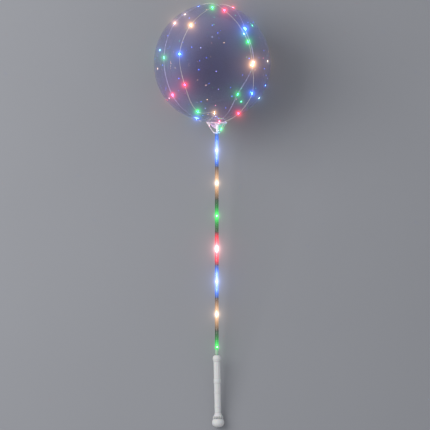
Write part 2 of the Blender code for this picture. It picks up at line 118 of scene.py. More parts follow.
# Handle: heights run up from its domed end
HANDLE_LENGTH = 0.2210
HANDLE_LEAN = math.radians(1.1)
CAP_HEIGHT = 0.0445
CAP_RADIUS = 0.0186
CAP_WIDEST = 0.0140
CAP_FLAT = 0.0004
CAP_NECK_RADIUS = 0.0100
COLLAR_RADIUS = 0.0162
COLLAR_HEIGHT = 0.0285
COLLAR_WIDTH = 0.0048
GROOVE_WIDTH = 0.0022
GROOVE_DEPTH = 0.0008
NOSE_HEIGHT = 0.0205
NOSE_RADIUS = 0.0129
BARREL_LOW_RADIUS = 0.0097
BARREL_TOP_RADIUS = 0.0106
CELL_BORE_RADIUS = 0.0078
PLUG_LENGTH = 0.010
CAP_SPIGOT_WALL = 0.0017
CAP_HOLLOW_FLOOR = 0.012
LEAD_HOLE_RADIUS = 0.0026
# Height, width and how far it stands proud, for the band and the two rings, from the top down
BARREL_RINGS = ((0.1412, 0.0130, 0.0008), (0.1061, 0.0036, 0.0006), (0.0619, 0.0036, 0.0006))
# The flutes keep this far from the rings. The depths of a flute and of a notch are at its middle and then
# at each of the handle's sides away from it.
FLUTE_MARGIN = 0.0030
FLUTE_ROWS = 12
HANDLE_SIDES = 96
FLUTES = 12
FLUTE_DEPTHS = (0.0005, 0.00042, 0.00018)
NOTCHES = 16
NOTCH_DEPTHS = (0.0026, 0.0018)

# Light string
WIRE_RADIUS = 0.0006
LED_RADIUS = 0.0020
LED_LENGTH = 0.0070
LOWEST_LED = 0.0238
TOP_LED_DEPTH = 0.0496
WIRE_START = -0.024
STICK_LEDS = 7
CROSSING_LIFT = 0.0024
LED_COLOURS = ("green", "warm", "blue", "red")
# The bright core of a drop reaches this far from its middle
LED_CORE = LED_LENGTH * 0.28
# The green and red lights look weaker than the others
LIGHT_STRENGTH = {"green": 0.65, "warm": 1.0, "blue": 1.0, "red": 0.85}
# A drop's edge, and a whole drop in the stick, shine with this share of the light's glow
EDGE_SHARE = 0.2
IN_TUBE_SHARE = 0.1
IN_TUBE_WHITENESS = 0.6
# Lights further back than this are seen through the balloon
FAR_SIDE = 0.02
ROUTE_STEP = 0.004
DROP_SIDES = 16
# Between the flats and the corners of the solid drop, which has six sides
DROP_RADIUS = LED_RADIUS * 0.92
# How each light's painted glow fills the stick's wall: share of the way to the next light, brightness,
# whiteness
LIGHT_SPREAD = {
    "green": (
        (0, 0.95, 0.15), (0.03, 0.9, 0.08), (0.09, 0.8, 0.02), (0.25, 0.3, 0), (0.37, 0.13, 0.01),
        (0.5, 0.05, 0.1)),
    "warm": (
        (0, 0.95, 0.65), (0.04, 0.85, 0.4), (0.12, 0.68, 0.15), (0.25, 0.48, 0.02), (0.37, 0.25, 0),
        (0.5, 0.06, 0.1)),
    "blue": (
        (0, 0.86, 0.5), (0.05, 0.84, 0.42), (0.13, 0.82, 0.3), (0.25, 0.85, 0.15), (0.37, 0.67, 0.01),
        (0.5, 0.22, 0.1)),
    "red": (
        (0, 1.1, 0.95), (0.06, 0.98, 0.55), (0.13, 0.92, 0.1), (0.24, 0.88, 0.01), (0.37, 0.72, 0),
        (0.5, 0.12, 0.1)),
}

# The string's way out of the stick over the cup's rim: distance from the stick's axis, longitude in
# degrees from the front towards the right, height above the cup's base
WAY_OUT = (
    (0.0000, 0, -0.0060),
    (0.0025, 160, 0.0025),
    (0.0078, 160, 0.0085),
    (0.0160, 160, 0.0165),
    (0.0235, 160, 0.0265),
    (0.0268, 161, 0.0340),
    (0.0291, 162, 0.0382),
    (0.0335, 163, 0.0390),
)

# Its way round the balloon: polar angle from the far end, longitude, and whether a light sits there
ROUND_BALLOON = (
    (167.0, 166, True),
    (123.0, 153, True),
    (92.0, 136, True),
    (58.0, 135, True),
    (27.0, 113, True),
    (24.0, 10, True),
    (50.0, -24, True),
    (80.0, -33, True),
    (110.0, -31, True),
    (142.5, -30, True),
    (147.5, -3, True),
    (156.0, -125, True),
    (119.0, -127, True),
    (81.0, -125, True),
    (44.0, -124, True),
    (15.0, -144, True),
    (18.0, 30, False),
    (32.0, 31, True),
    (73.0, 41, True),
    (96.0, 42, True),
    (124.0, 48, True),
    (151.0, 50, True),
)

# Its way back into the cup, the last light, and the wire's end, as in the way out
WAY_IN = (
    (0.0370, 54, 0.0392),
    (0.0330, 54, 0.0390),
    (0.0291, 54, 0.0382),
    (0.0268, 53, 0.0340),
    (0.0235, 52, 0.0265),
    (0.0195, 52, 0.0195),
)
LAST_LED = (0.0160, 52, 0.0145)
WIRE_END = (0.0112, 50, 0.0098)

# Larger painted glints on the near side of the film, where it mirrors the lights, and painted glow in the
# film before the lights behind it: polar angle, longitude, colour, brightness and radius
MIRRORED = (
    (74, -66, "#3FA0FF", 1.6, 0.0034),
    (92, -70, "#D8B08C", 0.6, 0.0040),
    (93, 71, "#FFD9B0", 1.0, 0.0036),
    (134, 37, "#1FE070", 1.2, 0.0034),
    (55, 63, "#20D070", 1.4, 0.0036),
    (64, 40, "#40E0E0", 1.8, 0.0032),
    (117, 75, "#2E6CE0", 1.4, 0.0042),
    (131, 77, "#7FC8FF", 1.8, 0.0042),
    (32, -49, "#FFD8C0", 1.6, 0.0032),
    (123, -66, "#D89AA8", 0.8, 0.0034),
    (156, -2, "#7C8CF0", 0.4, 0.0036),
    (65, 2, "#8890B8", 0.15, 0.0036),
    (156, -55, "#1A54FF", 0.6, 0.0110),
    (119, -53, "#FF2346", 0.3, 0.0070),
    (58, 45, "#2470FF", 0.7, 0.0080),
)
# The share of a glint's radius that has its full colour
GLINT_CORE = 0.4

# Worked out from the sizes above
TUBE_BORE = TUBE_RADIUS - TUBE_WALL
SLEEVE_RADIUS = TUBE_BORE - SLIP_FIT
SPIGOT_RADIUS = TUBE_BORE - SLIP_FIT
TUBE_TOP = SLEEVE_SHOWN + TUBE_LENGTH
CUP_BASE = TUBE_TOP + TOUCH_GAP
LED_PITCH = (TUBE_TOP - TOP_LED_DEPTH - LOWEST_LED) / (STICK_LEDS - 1)
CAP_SPIGOT_RADIUS = CELL_BORE_RADIUS - SLIP_FIT

# Where the upright object's own origin, the top of the handle, lies on the floor
LYING_PLACE = (0.013472, -0.421596)

# The photograph: metres to a pixel, and the pixel column and row of the upright origin
PIXEL = 0.00305
ORIGIN_COLUMN, ORIGIN_ROW = 216.8, 354.8
PHOTO_SIDE = 430
CAMERA_DISTANCE = 30.0
SENSOR_WIDTH = 36.0

# Stage
FLOOR_SIZE = 12
FLOOR_GAP = 0.0002
KEY_PLACE = (-2.2, 0.6, 2.6)
KEY_TARGET = (0, 0, 0.1)
KEY_SIZE = 2.6


def linear(hex_colour):
    """A colour written as sRGB hex, as the linear values that Blender works with."""
    channels = [int(hex_colour[i : i + 2], 16) / 255 for i in (1, 3, 5)]
    return tuple(c / 12.92 if c <= 0.04045 else ((c + 0.055) / 1.055) ** 2.4 for c in channels)


# What a user would change


def colour_setting(name, description, hex_colour):
    return FloatVectorProperty(
        name=name, description=description, subtype="COLOR", size=3, min=0, max=1,
        default=linear(hex_colour))


def strength_setting(name, description, default, most):
    return FloatProperty(name=name, description=description, min=0, max=most, default=default)


class BalloonSettings(bpy.types.PropertyGroup):
    film_tint: colour_setting(
        "Film tint", "Colour that the film gives to what is seen through it", "#EAE1FF")
    film_blue: colour_setting(
        "Film tint, bluer places", "The tint where the film is stretched thinner", "#E1E7FF")
    film_thickness: FloatProperty(
        name="Film thickness", description="Wall of the balloon, drawn thicker than the real 0.1 mm",
        subtype="DISTANCE", unit="LENGTH", min=0.0001, max=0.001, default=0.00025)
    gathers: IntProperty(
        name="Gathers", description="Pleats that the neck is gathered into", min=8, max=36, default=24)


class CupSettings(bpy.types.PropertyGroup):
    plastic_tint: colour_setting("Plastic tint", "Colour of the clear moulded cup", "#F4F6FA")
    # Strength of the cup's painted glow
    glow: strength_setting("Glow", "How strongly the string's lights run through the cup", 0.3, 10)


class StickSettings(bpy.types.PropertyGroup):
    tube_tint: colour_setting("Tube tint", "Colour of the clear tube", "#F2F4F6")
    sleeve_tint: colour_setting("Sleeve tint", "Colour of the frosted sleeve", "#D2E6D6")
    # Strength of the painted glow in the tube's wall and the sleeve
    glow: strength_setting("Glow", "How strongly the lights fill the tube's wall", 0.29, 20)


class HandleSettings(bpy.types.PropertyGroup):
    plastic: colour_setting("Plastic", "Colour of the white moulded handle", "#F6F6F4")
    plastic_shade: colour_setting(
        "Plastic, greyer places", "The white where hands have dulled it", "#EAE9E6")


class StringSettings(bpy.types.PropertyGroup):
    wire: colour_setting("Wire", "Colour of the lacquered wire", "#F1ECE6")
    twist: FloatProperty(
        name="Twist", description="Length of one turn of the pair of wires",
        subtype="DISTANCE", unit="LENGTH", min=0.008, max=0.06, default=0.026)
    green: colour_setting("Green", "Colour of the green lights", "#0FE95B")
    warm: colour_setting("Warm white", "Colour of the warm white lights", "#FFC98F")
    blue: colour_setting("Blue", "Colour of the blue lights", "#2E86FF")
    red: colour_setting("Red", "Colour of the red lights", "#FF2346")
    glow: strength_setting("Glow", "How bright each light is", 32.0, 200)


class StageSettings(bpy.types.PropertyGroup):
    floor: colour_setting("Floor", "Colour of the plain floor", "#A9AAAE")
    light: strength_setting("Light", "Strength of the soft light from all round", 0.45, 5)
    key: strength_setting("Key light", "Power of the large lamp at the left", 62.0, 500)


# Materials

COLOURS = {"data_type": "RGBA"}
PRODUCT = {"data_type": "RGBA", "blend_type": "MULTIPLY"}
SMOOTH = {"interpolation_type": "SMOOTHSTEP"}
# The sockets of a Mix node's two colours
FIRST, SECOND = 6, 7


def feed(tree, node, inputs):
    """Gives a node's sockets their plain values, or links them from other nodes. A node given as a source
    stands for the first of its outputs that is in use."""
    for key, source in inputs.items():
        socket = node.inputs[key]
        if isinstance(source, bpy.types.Node):
            source = next(output for output in source.outputs if output.enabled)
        if isinstance(source, bpy.types.NodeSocket):
            tree.links.new(source, socket)
        elif socket.type == "RGBA":
            socket.default_value = (*source, 1)
        else:
            socket.default_value = source


def add_node(tree, kind, settings=None, inputs=None):
    """Adds a node, sets its properties and feeds its sockets."""
    node = tree.nodes.new(kind)
    for key, value in (settings or {}).items():
        setattr(node, key, value)
    feed(tree, node, inputs or {})
    return node


def set_ramp(node, stops, interpolation="LINEAR"):
    """Gives a Color Ramp its stops: (position, colour as sRGB hex or as linear values)."""
    ramp = node.color_ramp
    ramp.interpolation = interpolation
    while len(ramp.elements) > 1:
        ramp.elements.remove(ramp.elements[-1])
    for i, (position, colour) in enumerate(stops):
        element = ramp.elements[0] if i == 0 else ramp.elements.new(position)
        element.position = position
        rgb = linear(colour) if isinstance(colour, str) else colour
        element.color = (*rgb, 1.0)


def shaded(colour, share):
    """The colour made darker, or brighter where the share is over 1."""
    return tuple(c * share for c in colour)


def paler(colour, whiteness):
    """The colour, moved towards white."""
    return tuple(c + (1 - c) * whiteness for c in colour)


def new_material(name, inputs, sampled=True):
    """A material whose Principled shader has these plain values on its own sockets. The renderer doesn't
    sample one as a lamp where its glow is painted on."""
    material = bpy.data.materials.new(name)
    material.use_nodes = True
    if not sampled:
        material.cycles.emission_sampling = "NONE"
    tree = material.node_tree
    shader = tree.nodes["Principled BSDF"]
    feed(tree, shader, inputs)
    return material, tree, shader


def own_place(tree, matrix):
    """The point in the frame of a piece that lies turned, worked out from Object coordinates."""
    coords = add_node(tree, "ShaderNodeTexCoord")
    return add_node(tree, "ShaderNodeMapping", {"vector_type": "TEXTURE"}, {
        "Location": matrix.to_translation(), "Rotation": matrix.to_euler(),
        "Vector": coords.outputs["Object"]})


def patchy(tree, place, colours, scale, detail, roughness=None):
    """Soft patches that drift between two colours, and between two roughnesses where those are given: the
    inputs for a shader."""
    cloud = add_node(tree, "ShaderNodeTexNoise", None, {"Scale": scale, "Detail": detail, "Vector": place})
    tint = add_node(tree, "ShaderNodeMix", COLOURS, {
        "Factor": cloud, FIRST: colours[0], SECOND: colours[1]})
    inputs = {"Base Color": tint}
    if roughness:
        dulled = add_node(tree, "ShaderNodeMapRange", None, {
            "Value": cloud, "To Min": roughness[0], "To Max": roughness[1]})
        inputs["Roughness"] = dulled
    return inputs


def fine_relief(tree, place, scale, detail, strength, depth, stretch=1.0):
    """A fine, shallow relief as a normal, drawn out along the piece where the stretch is under 1."""
    drawn = add_node(tree, "ShaderNodeMapping", None, {"Scale": (1.0, 1.0, stretch), "Vector": place})
    grain = add_node(tree, "ShaderNodeTexNoise", None, {"Scale": scale, "Detail": detail, "Vector": drawn})
    return add_node(tree, "ShaderNodeBump", None, {
        "Strength": strength, "Distance": depth, "Height": grain})


def round_spot(tree, place, centre, reach, core):
    """How far inside a soft-edged spot a point is: 1 in its core, and 0 beyond its reach."""
    away = add_node(tree, "ShaderNodeVectorMath", {"operation": "DISTANCE"}, {0: place, 1: centre})
    return add_node(tree, "ShaderNodeMapRange", SMOOTH, {
        "Value": away, "From Min": reach, "From Max": core})


def film_creases(tree, place, axes, gathers):
    """Creases: a wave in the angle about the balloon's axis, which fades some 50 to 160 mm from the neck."""
    angle = add_node(tree, "ShaderNodeTexGradient", {"gradient_type": "RADIAL"}, {"Vector": place})
    waver = add_node(tree, "ShaderNodeTexNoise", None, {"Scale": 30.0, "Detail": 3.0, "Vector": place})
    turns = add_node(tree, "ShaderNodeMath", {"operation": "MULTIPLY_ADD"}, {
        0: angle.outputs["Fac"], 1: gathers * math.tau, 2: waver})
    wave = add_node(tree, "ShaderNodeMath", {"operation": "SINE"}, {0: turns})
    near_neck = add_node(tree, "ShaderNodeMapRange", SMOOTH, {
        "Value": axes.outputs["Z"], "From Min": -0.115, "From Max": -0.175})
    creases = add_node(tree, "ShaderNodeMath", {"operation": "MULTIPLY"}, {0: wave, 1: near_neck})
    return add_node(tree, "ShaderNodeBump", None, {"Strength": 0.5, "Distance": 0.0008, "Height": creases})


def film_glints(tree, place):
    """Painted reflections of the string's lights: 2.5 mm specks in the film's tiny wrinkles, some 50 mm
    apart, and the larger painted glints."""
    cells = add_node(tree, "ShaderNodeTexVoronoi", None, {"Scale": 45.0, "Vector": place})
    speck = add_node(tree, "ShaderNodeMapRange", SMOOTH, {
        "Value": cells, "From Min": 0.075, "From Max": 0.03})
    pick = add_node(tree, "ShaderNodeSeparateColor", None, {"Color": cells.outputs["Color"]})
    hues = add_node(tree, "ShaderNodeValToRGB", None, {"Fac": pick.outputs["Red"]})
    set_ramp(hues, (
        (0.0, "#3C6CE8"), (0.4, "#8E8AC8"), (0.58, "#2FA872"), (0.76, "#C9A27C"), (0.92, "#C8607C")),
        "CONSTANT")
    glints = add_node(tree, "ShaderNodeMix", PRODUCT, {"Factor": 1.0, FIRST: hues, SECOND: speck})
    into_frame = balloon_frame().inverted()
    for polar, longitude, hue, bright, reach in MIRRORED:
        centre = into_frame @ on_balloon(polar, longitude, -FILM_INSET)
        glints = add_node(tree, "ShaderNodeMix", COLOURS, {
            "Factor": round_spot(tree, place, centre, reach, reach * GLINT_CORE),
            FIRST: glints, SECOND: shaded(linear(hue), bright)})
    return glints


def tail_shine(tree, place, axes, glints):
    """Painted glow on the gathered tail, crumpled in the cup, from the lights beside it: pinkish on the left,
    green on the right."""
    sides = add_node(tree, "ShaderNodeMapRange", None, {
        "Value": axes.outputs["X"], "From Min": -0.003, "From Max": 0.006})
    beside = add_node(tree, "ShaderNodeMix", COLOURS, {
        "Factor": sides, FIRST: linear("#564648"), SECOND: linear("#06442B")})
    crumple = add_node(tree, "ShaderNodeTexNoise", None, {"Scale": 260.0, "Detail": 2.0, "Vector": place})
    folds = add_node(tree, "ShaderNodeMapRange", None, {
        "Value": crumple, "From Min": 0.42, "From Max": 0.62})
    at_tail = add_node(tree, "ShaderNodeMapRange", SMOOTH, {
        "Value": axes.outputs["Z"], "From Min": -NEAR_POLE, "From Max": -NEAR_POLE - 0.012})
    tail = add_node(tree, "ShaderNodeMath", {"operation": "MULTIPLY"}, {0: folds, 1: at_tail})
    return add_node(tree, "ShaderNodeMix", COLOURS, {"Factor": tail, FIRST: glints, SECOND: beside})


def light_in_cup(tree, place):
    """The painted glow of the string's lights beside the cup, along its ribs and round its rim: by angle from
    the left.
    """
    angle = add_node(tree, "ShaderNodeTexGradient", {"gradient_type": "RADIAL"}, {"Vector": place})
    ribs = add_node(tree, "ShaderNodeValToRGB", None, {"Fac": angle.outputs["Fac"]})
    set_ramp(ribs, (
        (0.0, "#F2D2CC"), (0.12, "#F3E4EE"), (0.25, "#E9DCF4"), (0.33, "#19C27A"), (0.42, "#1FB88A"),
        (0.5, "#7FB4BC"), (0.7, "#A45AA8"), (0.86, "#C98AA0"), (1.0, "#F2D2CC")))
    rim = add_node(tree, "ShaderNodeValToRGB", None, {"Fac": angle.outputs["Fac"]})
    set_ramp(rim, (
        (0.0, "#E8B9C0"), (0.14, "#E7D9E4"), (0.23, "#F7A3B4"), (0.26, "#FF4F8E"), (0.31, "#FDE3FF"),
        (0.38, "#D9B6FF"), (0.5, "#86AFC6"), (0.75, "#9A4F9E"), (1.0, "#E8B9C0")))
    axes = add_node(tree, "ShaderNodeSeparateXYZ", None, {"Vector": place})
    at_rim = add_node(tree, "ShaderNodeMapRange", None, {
        "Value": axes.outputs["Z"], "From Min": CUP_HEIGHT - 0.0055, "From Max": CUP_HEIGHT - 0.0030})
    glow = add_node(tree, "ShaderNodeMix", COLOURS, {"Factor": at_rim, FIRST: ribs, SECOND: rim})
    # Brighter and darker places in the painted glow, some 5 mm apart, and the top light's blue painted in the
    # spigot
    mottle = add_node(tree, "ShaderNodeTexNoise", None, {"Scale": 200.0, "Detail": 2.0, "Vector": place})
    uneven = add_node(tree, "ShaderNodeMapRange", None, {
        "Value": mottle, "From Min": 0.35, "From Max": 0.65, "To Min": 0.25, "To Max": 1.2})
    mottled = add_node(tree, "ShaderNodeMix", PRODUCT, {"Factor": 1.0, FIRST: glow, SECOND: uneven})
    in_bowl = add_node(tree, "ShaderNodeMapRange", None, {
        "Value": axes.outputs["Z"], "From Min": 0.0, "From Max": 0.004})
    return add_node(tree, "ShaderNodeMix", COLOURS, {
        "Factor": in_bowl, FIRST: linear("#3C5FC0"), SECOND: mottled})


def light_in_wall(tree, place, string):
    """The painted glow of the lights in the wall of the stick: white-hot beside each light, then its own
    colour, fading halfway to the next light."""
    axes = add_node(tree, "ShaderNodeSeparateXYZ", None, {"Vector": place})
    start = LOWEST_LED - LED_PITCH / 2
    count = add_node(tree, "ShaderNodeMath", {"operation": "MULTIPLY_ADD"}, {
        0: axes.outputs["Z"], 1: 1 / LED_PITCH, 2: -start / LED_PITCH})
    part = add_node(tree, "ShaderNodeMath", {"operation": "FRACT"}, {0: count})
    away = add_node(tree, "ShaderNodeMath", {"operation": "SUBTRACT"}, {0: part, 1: 0.5})
    distance = add_node(tree, "ShaderNodeMath", {"operation": "ABSOLUTE"}, {0: away})
    # Which light is nearest: its number, counted in fours as the colours are
    number = add_node(tree, "ShaderNodeMath", {"operation": "FLOOR"}, {0: count})
    turn = add_node(tree, "ShaderNodeMath", {"operation": "MODULO"}, {0: number, 1: len(LED_COLOURS)})
    glow = None
    for i, name in enumerate(LED_COLOURS):
        spread = add_node(tree, "ShaderNodeValToRGB", None, {"Fac": distance})
        set_ramp(spread, [
            (far, shaded(paler(getattr(string, name), white), bright))
            for far, bright, white in LIGHT_SPREAD[name]])
        if glow is None:
            glow = spread
            continue
        mine = add_node(tree, "ShaderNodeMath", {"operation": "COMPARE"}, {0: turn, 1: float(i), 2: 0.5})
        glow = add_node(tree, "ShaderNodeMix", COLOURS, {"Factor": mine, FIRST: glow, SECOND: spread})
    return glow


def blown_film(settings):
    """Blown polyurethane film: clear and glassy, a faint violet tint that pools in the thicker places,
    stretch creases that run out from the gathered neck, and painted glints and glow of the lights."""
    material, tree, shader = new_material("blown_polyurethane_film", {
        "Roughness": 0.006, "IOR": 1.42, "Transmission Weight": 0.96, "Sheen Weight": 0.3,
        "Sheen Roughness": 0.3, "Sheen Tint": linear("#C9CCFF"), "Emission Strength": 3.0}, sampled=False)
    place = own_place(tree, LYING @ balloon_frame())
    axes = add_node(tree, "ShaderNodeSeparateXYZ", None, {"Vector": place})
    # Thicker and thinner patches of the blown film, some 70 mm across
    look = patchy(tree, place, (settings.film_tint, settings.film_blue), scale=14.0, detail=2.0)
    # Painted light: the glints and the tail's glow, given as emission
    feed(tree, shader, look | {
        "Normal": film_creases(tree, place, axes, settings.gathers),
        "Emission Color": tail_shine(tree, place, axes, film_glints(tree, place))})
    return material


def clear_polystyrene(settings):
    """Moulded polystyrene: glass-clear and hard, with faint flow lines left by the mould, and a painted glow
    of the string's lights.
    """
    material, tree, shader = new_material("moulded_clear_polystyrene", {
        "Roughness": 0.05, "IOR": 1.55, "Transmission Weight": 0.85,
        "Emission Strength": settings.glow}, sampled=False)
    place = own_place(tree, LYING @ Matrix.Translation((0, 0, CUP_BASE)))
    tint = settings.plastic_tint
    look = patchy(tree, place, (tint, shaded(tint, 0.93)), scale=120.0, detail=2.0)
    # Flow lines some 2 mm apart, stretched along the ribs
    flow = fine_relief(tree, place, scale=500.0, detail=1.0, strength=0.25, depth=0.0003, stretch=0.2)
    feed(tree, shader, look | {"Normal": flow, "Emission Color": light_in_cup(tree, place)})
    return material


def lit_acrylic(settings, string):
    """Extruded acrylic tube: clear with drawn-out die lines, its wall filled with a painted glow of the
    lights inside it.
    """
    material, tree, shader = new_material("extruded_clear_acrylic", {
        "Roughness": 0.06, "IOR": 1.49, "Transmission Weight": 1.0,
        "Emission Strength": settings.glow}, sampled=False)
    place = own_place(tree, LYING)
    glow = light_in_wall(tree, place, string)
    # Painted light: the wall's colour takes on the lights' glow, so that little of the floor's grey shows
    # through it
    tint = add_node(tree, "ShaderNodeMix", COLOURS, {"Factor": 0.6, FIRST: settings.tube_tint, SECOND: glow})
    # Die lines some 0.7 mm apart round the tube, drawn out along it
    lines = fine_relief(tree, place, scale=1400.0, detail=1.0, strength=0.3, depth=0.0002, stretch=0.02)
    feed(tree, shader, {"Base Color": tint, "Normal": lines, "Emission Color": glow})
    return material


def frosted_polypropylene(settings, string):
    """Frosted polypropylene: milky and waxy, with the lights' glow painted into it and a painted bright spot
    by the lowest light.
    """
    material, tree, shader = new_material("frosted_polypropylene", {
        "IOR": 1.49, "Transmission Weight": 0.25, "Subsurface Weight": 0.3, "Subsurface Scale": 0.002,
        "Emission Strength": settings.glow * 0.5}, sampled=False)
    place = own_place(tree, LYING)
    tint = settings.sleeve_tint
    look = patchy(
        tree, place, (tint, shaded(tint, 0.85)), scale=400.0, detail=3.0, roughness=(0.35, 0.5))
    # Painted light: a white-hot spot on the sleeve's front, level with the lowest light
    painted_spot_centre = Vector((0.0010, -SLEEVE_RADIUS, LOWEST_LED))
    glow = add_node(tree, "ShaderNodeMix", COLOURS, {
        "Factor": round_spot(tree, place, painted_spot_centre, 0.0034, 0.0014),
        FIRST: light_in_wall(tree, place, string), SECOND: (8.0, 8.0, 8.0)})
    feed(tree, shader, look | {"Emission Color": glow})
    return material


def moulded_abs(settings):
    """Injection-moulded white ABS: a soft sheen over a fine spark-eroded grain, dulled where it is held, with
    painted shade in its recesses.
    """
    material, tree, shader = new_material("moulded_white_abs", {
        "IOR": 1.53, "Specular IOR Level": 0.5, "Subsurface Weight": 0.08, "Subsurface Scale": 0.002})
    place = own_place(tree, LYING @ handle_frame())
    whites = (settings.plastic, settings.plastic_shade)
    look = patchy(tree, place, whites, scale=45.0, detail=4.0, roughness=(0.28, 0.46))
    # Painted shade in seams, flutes and notches narrower than about 5 mm, darker where they are more enclosed
    recess = add_node(
        tree, "ShaderNodeAmbientOcclusion", {"samples": 8, "only_local": True}, {"Distance": 0.007})
    recess_shade = add_node(tree, "ShaderNodeMapRange", None, {
        "Value": recess.outputs["AO"], "From Min": 0.42, "From Max": 0.92, "To Min": 1.0, "To Max": 0.0})
    white_with_painted_shade = add_node(tree, "ShaderNodeMix", COLOURS, {
        "Factor": recess_shade, FIRST: look["Base Color"], SECOND: linear("#606163")})
    # The grain is about 0.2 mm, drawn at 0.6 mm so that it shows
    grain = fine_relief(tree, place, scale=1600.0, detail=2.0, strength=0.12, depth=0.0001)
    feed(tree, shader, look | {"Base Color": white_with_painted_shade, "Normal": grain})
    return material


def lacquered_wire(settings):
    """Thin copper wire under a silvery lacquer: bright, with duller patches, and painted light and shade
    along it.
    """
    wire = settings.wire
    material, tree, shader = new_material(
        "lacquered_copper_wire", {"Metallic": 0.3, "Emission Color": wire})
    place = add_node(tree, "ShaderNodeTexCoord").outputs["Object"]
    # Painted glow, stronger on the stretches that lie low, seen through the film, than on those on top
    axes = add_node(tree, "ShaderNodeSeparateXYZ", None, {"Vector": place})
    low_down = add_node(tree, "ShaderNodeMapRange", None, {
        "Value": axes.outputs["Z"], "From Min": 0.12, "From Max": 0.22, "To Min": 1.1, "To Max": 0.3})
    # Painted light and shade: stretches some 80 mm long are lit, and others between them darkened
    stretches = add_node(tree, "ShaderNodeTexNoise", None, {"Scale": 13.0, "Detail": 1.0, "Vector": place})
    lit_stretches = add_node(tree, "ShaderNodeMapRange", None, {
        "Value": stretches, "From Min": 0.38, "From Max": 0.60, "To Min": 0.5, "To Max": 1.0})
    gleam = add_node(tree, "ShaderNodeMath", {"operation": "MULTIPLY"}, {0: low_down, 1: lit_stretches})
    look = patchy(tree, place, (wire, shaded(wire, 0.8)), scale=220.0, detail=3.0, roughness=(0.25, 0.45))
    # A darker copy of the wire's colour is painted shade on the unlit stretches
    uneven = add_node(tree, "ShaderNodeMix", COLOURS, {
        "Factor": lit_stretches, FIRST: shaded(wire, 0.45), SECOND: look["Base Color"]})
    feed(tree, shader, look | {"Base Color": uneven, "Emission Strength": gleam})
    return material


def lit_resin(name, colour, strength):
    """Cast epoxy drop over a light: glossy, and so bright in the middle that only its edge keeps colour."""
    material, tree, shader = new_material("cast_epoxy_" + name, {
        "Roughness": 0.12, "IOR": 1.54, "Coat Weight": 0.4, "Emission Strength": strength})
    place = add_node(tree, "ShaderNodeTexCoord").outputs["Object"]
    for socket, share in (("Base Color", 0.8), ("Emission Color", 0.85)):
        look = patchy(tree, place, (colour, shaded(colour, share)), scale=700.0, detail=1.0)
        feed(tree, shader, {socket: look["Base Color"]})
    return material


def painted_floor(settings):
    """Matt painted board: pale and even, with the faintest cloudiness."""
    material, tree, shader = new_material("matt_painted_board", {"Roughness": 0.85})
    place = add_node(tree, "ShaderNodeTexCoord").outputs["Object"]
    pale = settings.floor
    feed(tree, shader, patchy(tree, place, (pale, shaded(pale, 0.94)), scale=2.0, detail=2.0))
    return material


# Shaping


def start_alone():
    """Leaves edit mode and selects nothing, so that the next operator acts on the new piece alone."""
    if bpy.context.object and bpy.context.object.mode != "OBJECT":
        bpy.ops.object.mode_set(mode="OBJECT")
    bpy.ops.object.select_all(action="DESELECT")


def select_only(thing):
    start_alone()
    thing.select_set(True)
    bpy.context.view_layer.objects.active = thing


def draw_points(name, points):
    """Draws a chain of points by extruding one point from place to place, and stays in edit mode."""
    start_alone()
    bpy.ops.mesh.primitive_plane_add(size=0.001)
    thing = bpy.context.object
    thing.name = thing.data.name = name
    bpy.ops.object.mode_set(mode="EDIT")
    bpy.ops.mesh.merge(type="CENTER")
    bpy.ops.transform.translate(value=points[0])
    for start, end in zip(points, points[1:]):
        step = Vector(end) - Vector(start)
        bpy.ops.mesh.extrude_region_move(TRANSFORM_OT_translate={"value": step})
    bpy.ops.mesh.select_all(action="SELECT")
    bpy.ops.mesh.remove_doubles(threshold=MERGE_DISTANCE)
    bpy.ops.mesh.select_all(action="SELECT")
    return thing


def face_outwards():
    """Turns all the edited mesh's faces outwards, and leaves edit mode."""
    bpy.ops.mesh.select_all(action="SELECT")
    bpy.ops.mesh.normals_make_consistent(inside=False)
    bpy.ops.object.mode_set(mode="OBJECT")


def turned(name, profile, steps):
    """A turned piece about z: the profile of (radius, height) is drawn and spun all the way round."""
    thing = draw_points(name, [(radius, 0, height) for radius, height in profile])
    bpy.ops.mesh.spin(steps=steps, angle=math.tau, center=(0, 0, 0), axis=(0, 0, 1))
    bpy.ops.mesh.select_all(action="SELECT")
    bpy.ops.mesh.remove_doubles(threshold=MERGE_DISTANCE)
    face_outwards()
    return thing


def resize_where(thing, chosen, factor):
    """Draws the chosen vertices towards the z axis, or away from it."""
    select_only(thing)
    mesh = thing.data
    mesh.polygons.foreach_set("select", [False] * len(mesh.polygons))
    mesh.edges.foreach_set("select", [False] * len(mesh.edges))
    mesh.vertices.foreach_set("select", chosen)
    bpy.ops.object.mode_set(mode="EDIT")
    bpy.ops.mesh.select_mode(type="VERT")
    bpy.ops.transform.resize(value=(factor, factor, 1), center_override=(0, 0, 0))
    bpy.ops.object.mode_set(mode="OBJECT")


def phase_of(vertex, sides, period):
    """How many sides away the vertex is from the nearest that is a multiple of the period."""
    side = round(math.atan2(vertex.co.y, vertex.co.x) / math.tau * sides) % period
    return min(side, period - side)


def press_grooves(thing, wanted, count, depths, radius):
    """Presses a count of even grooves into the piece, where its own radius and height are wanted."""
    kinds = []
    for vertex in thing.data.vertices:
        x, y, z = vertex.co
        phase = phase_of(vertex, HANDLE_SIDES, HANDLE_SIDES // count)
        kinds.append(phase if wanted(math.hypot(x, y), z) else None)
    for phase, depth in enumerate(depths):
        resize_where(thing, [kind == phase for kind in kinds], 1 - depth / radius)


def apply_modifier(thing, kind, name, settings):
    select_only(thing)
    bpy.ops.object.modifier_add(type=kind)
    modifier = thing.modifiers[-1]
    modifier.name = name
    for key, value in settings.items():
        setattr(modifier, key, value)
    bpy.ops.object.modifier_apply(modifier=name)


def lay_down(thing, placing=Matrix.Identity(4)):
    """Puts an upright piece where it lies, with its place in its mesh."""
    select_only(thing)
    thing.matrix_world = LYING @ placing
    bpy.ops.object.transform_apply(location=True, rotation=True, scale=True)


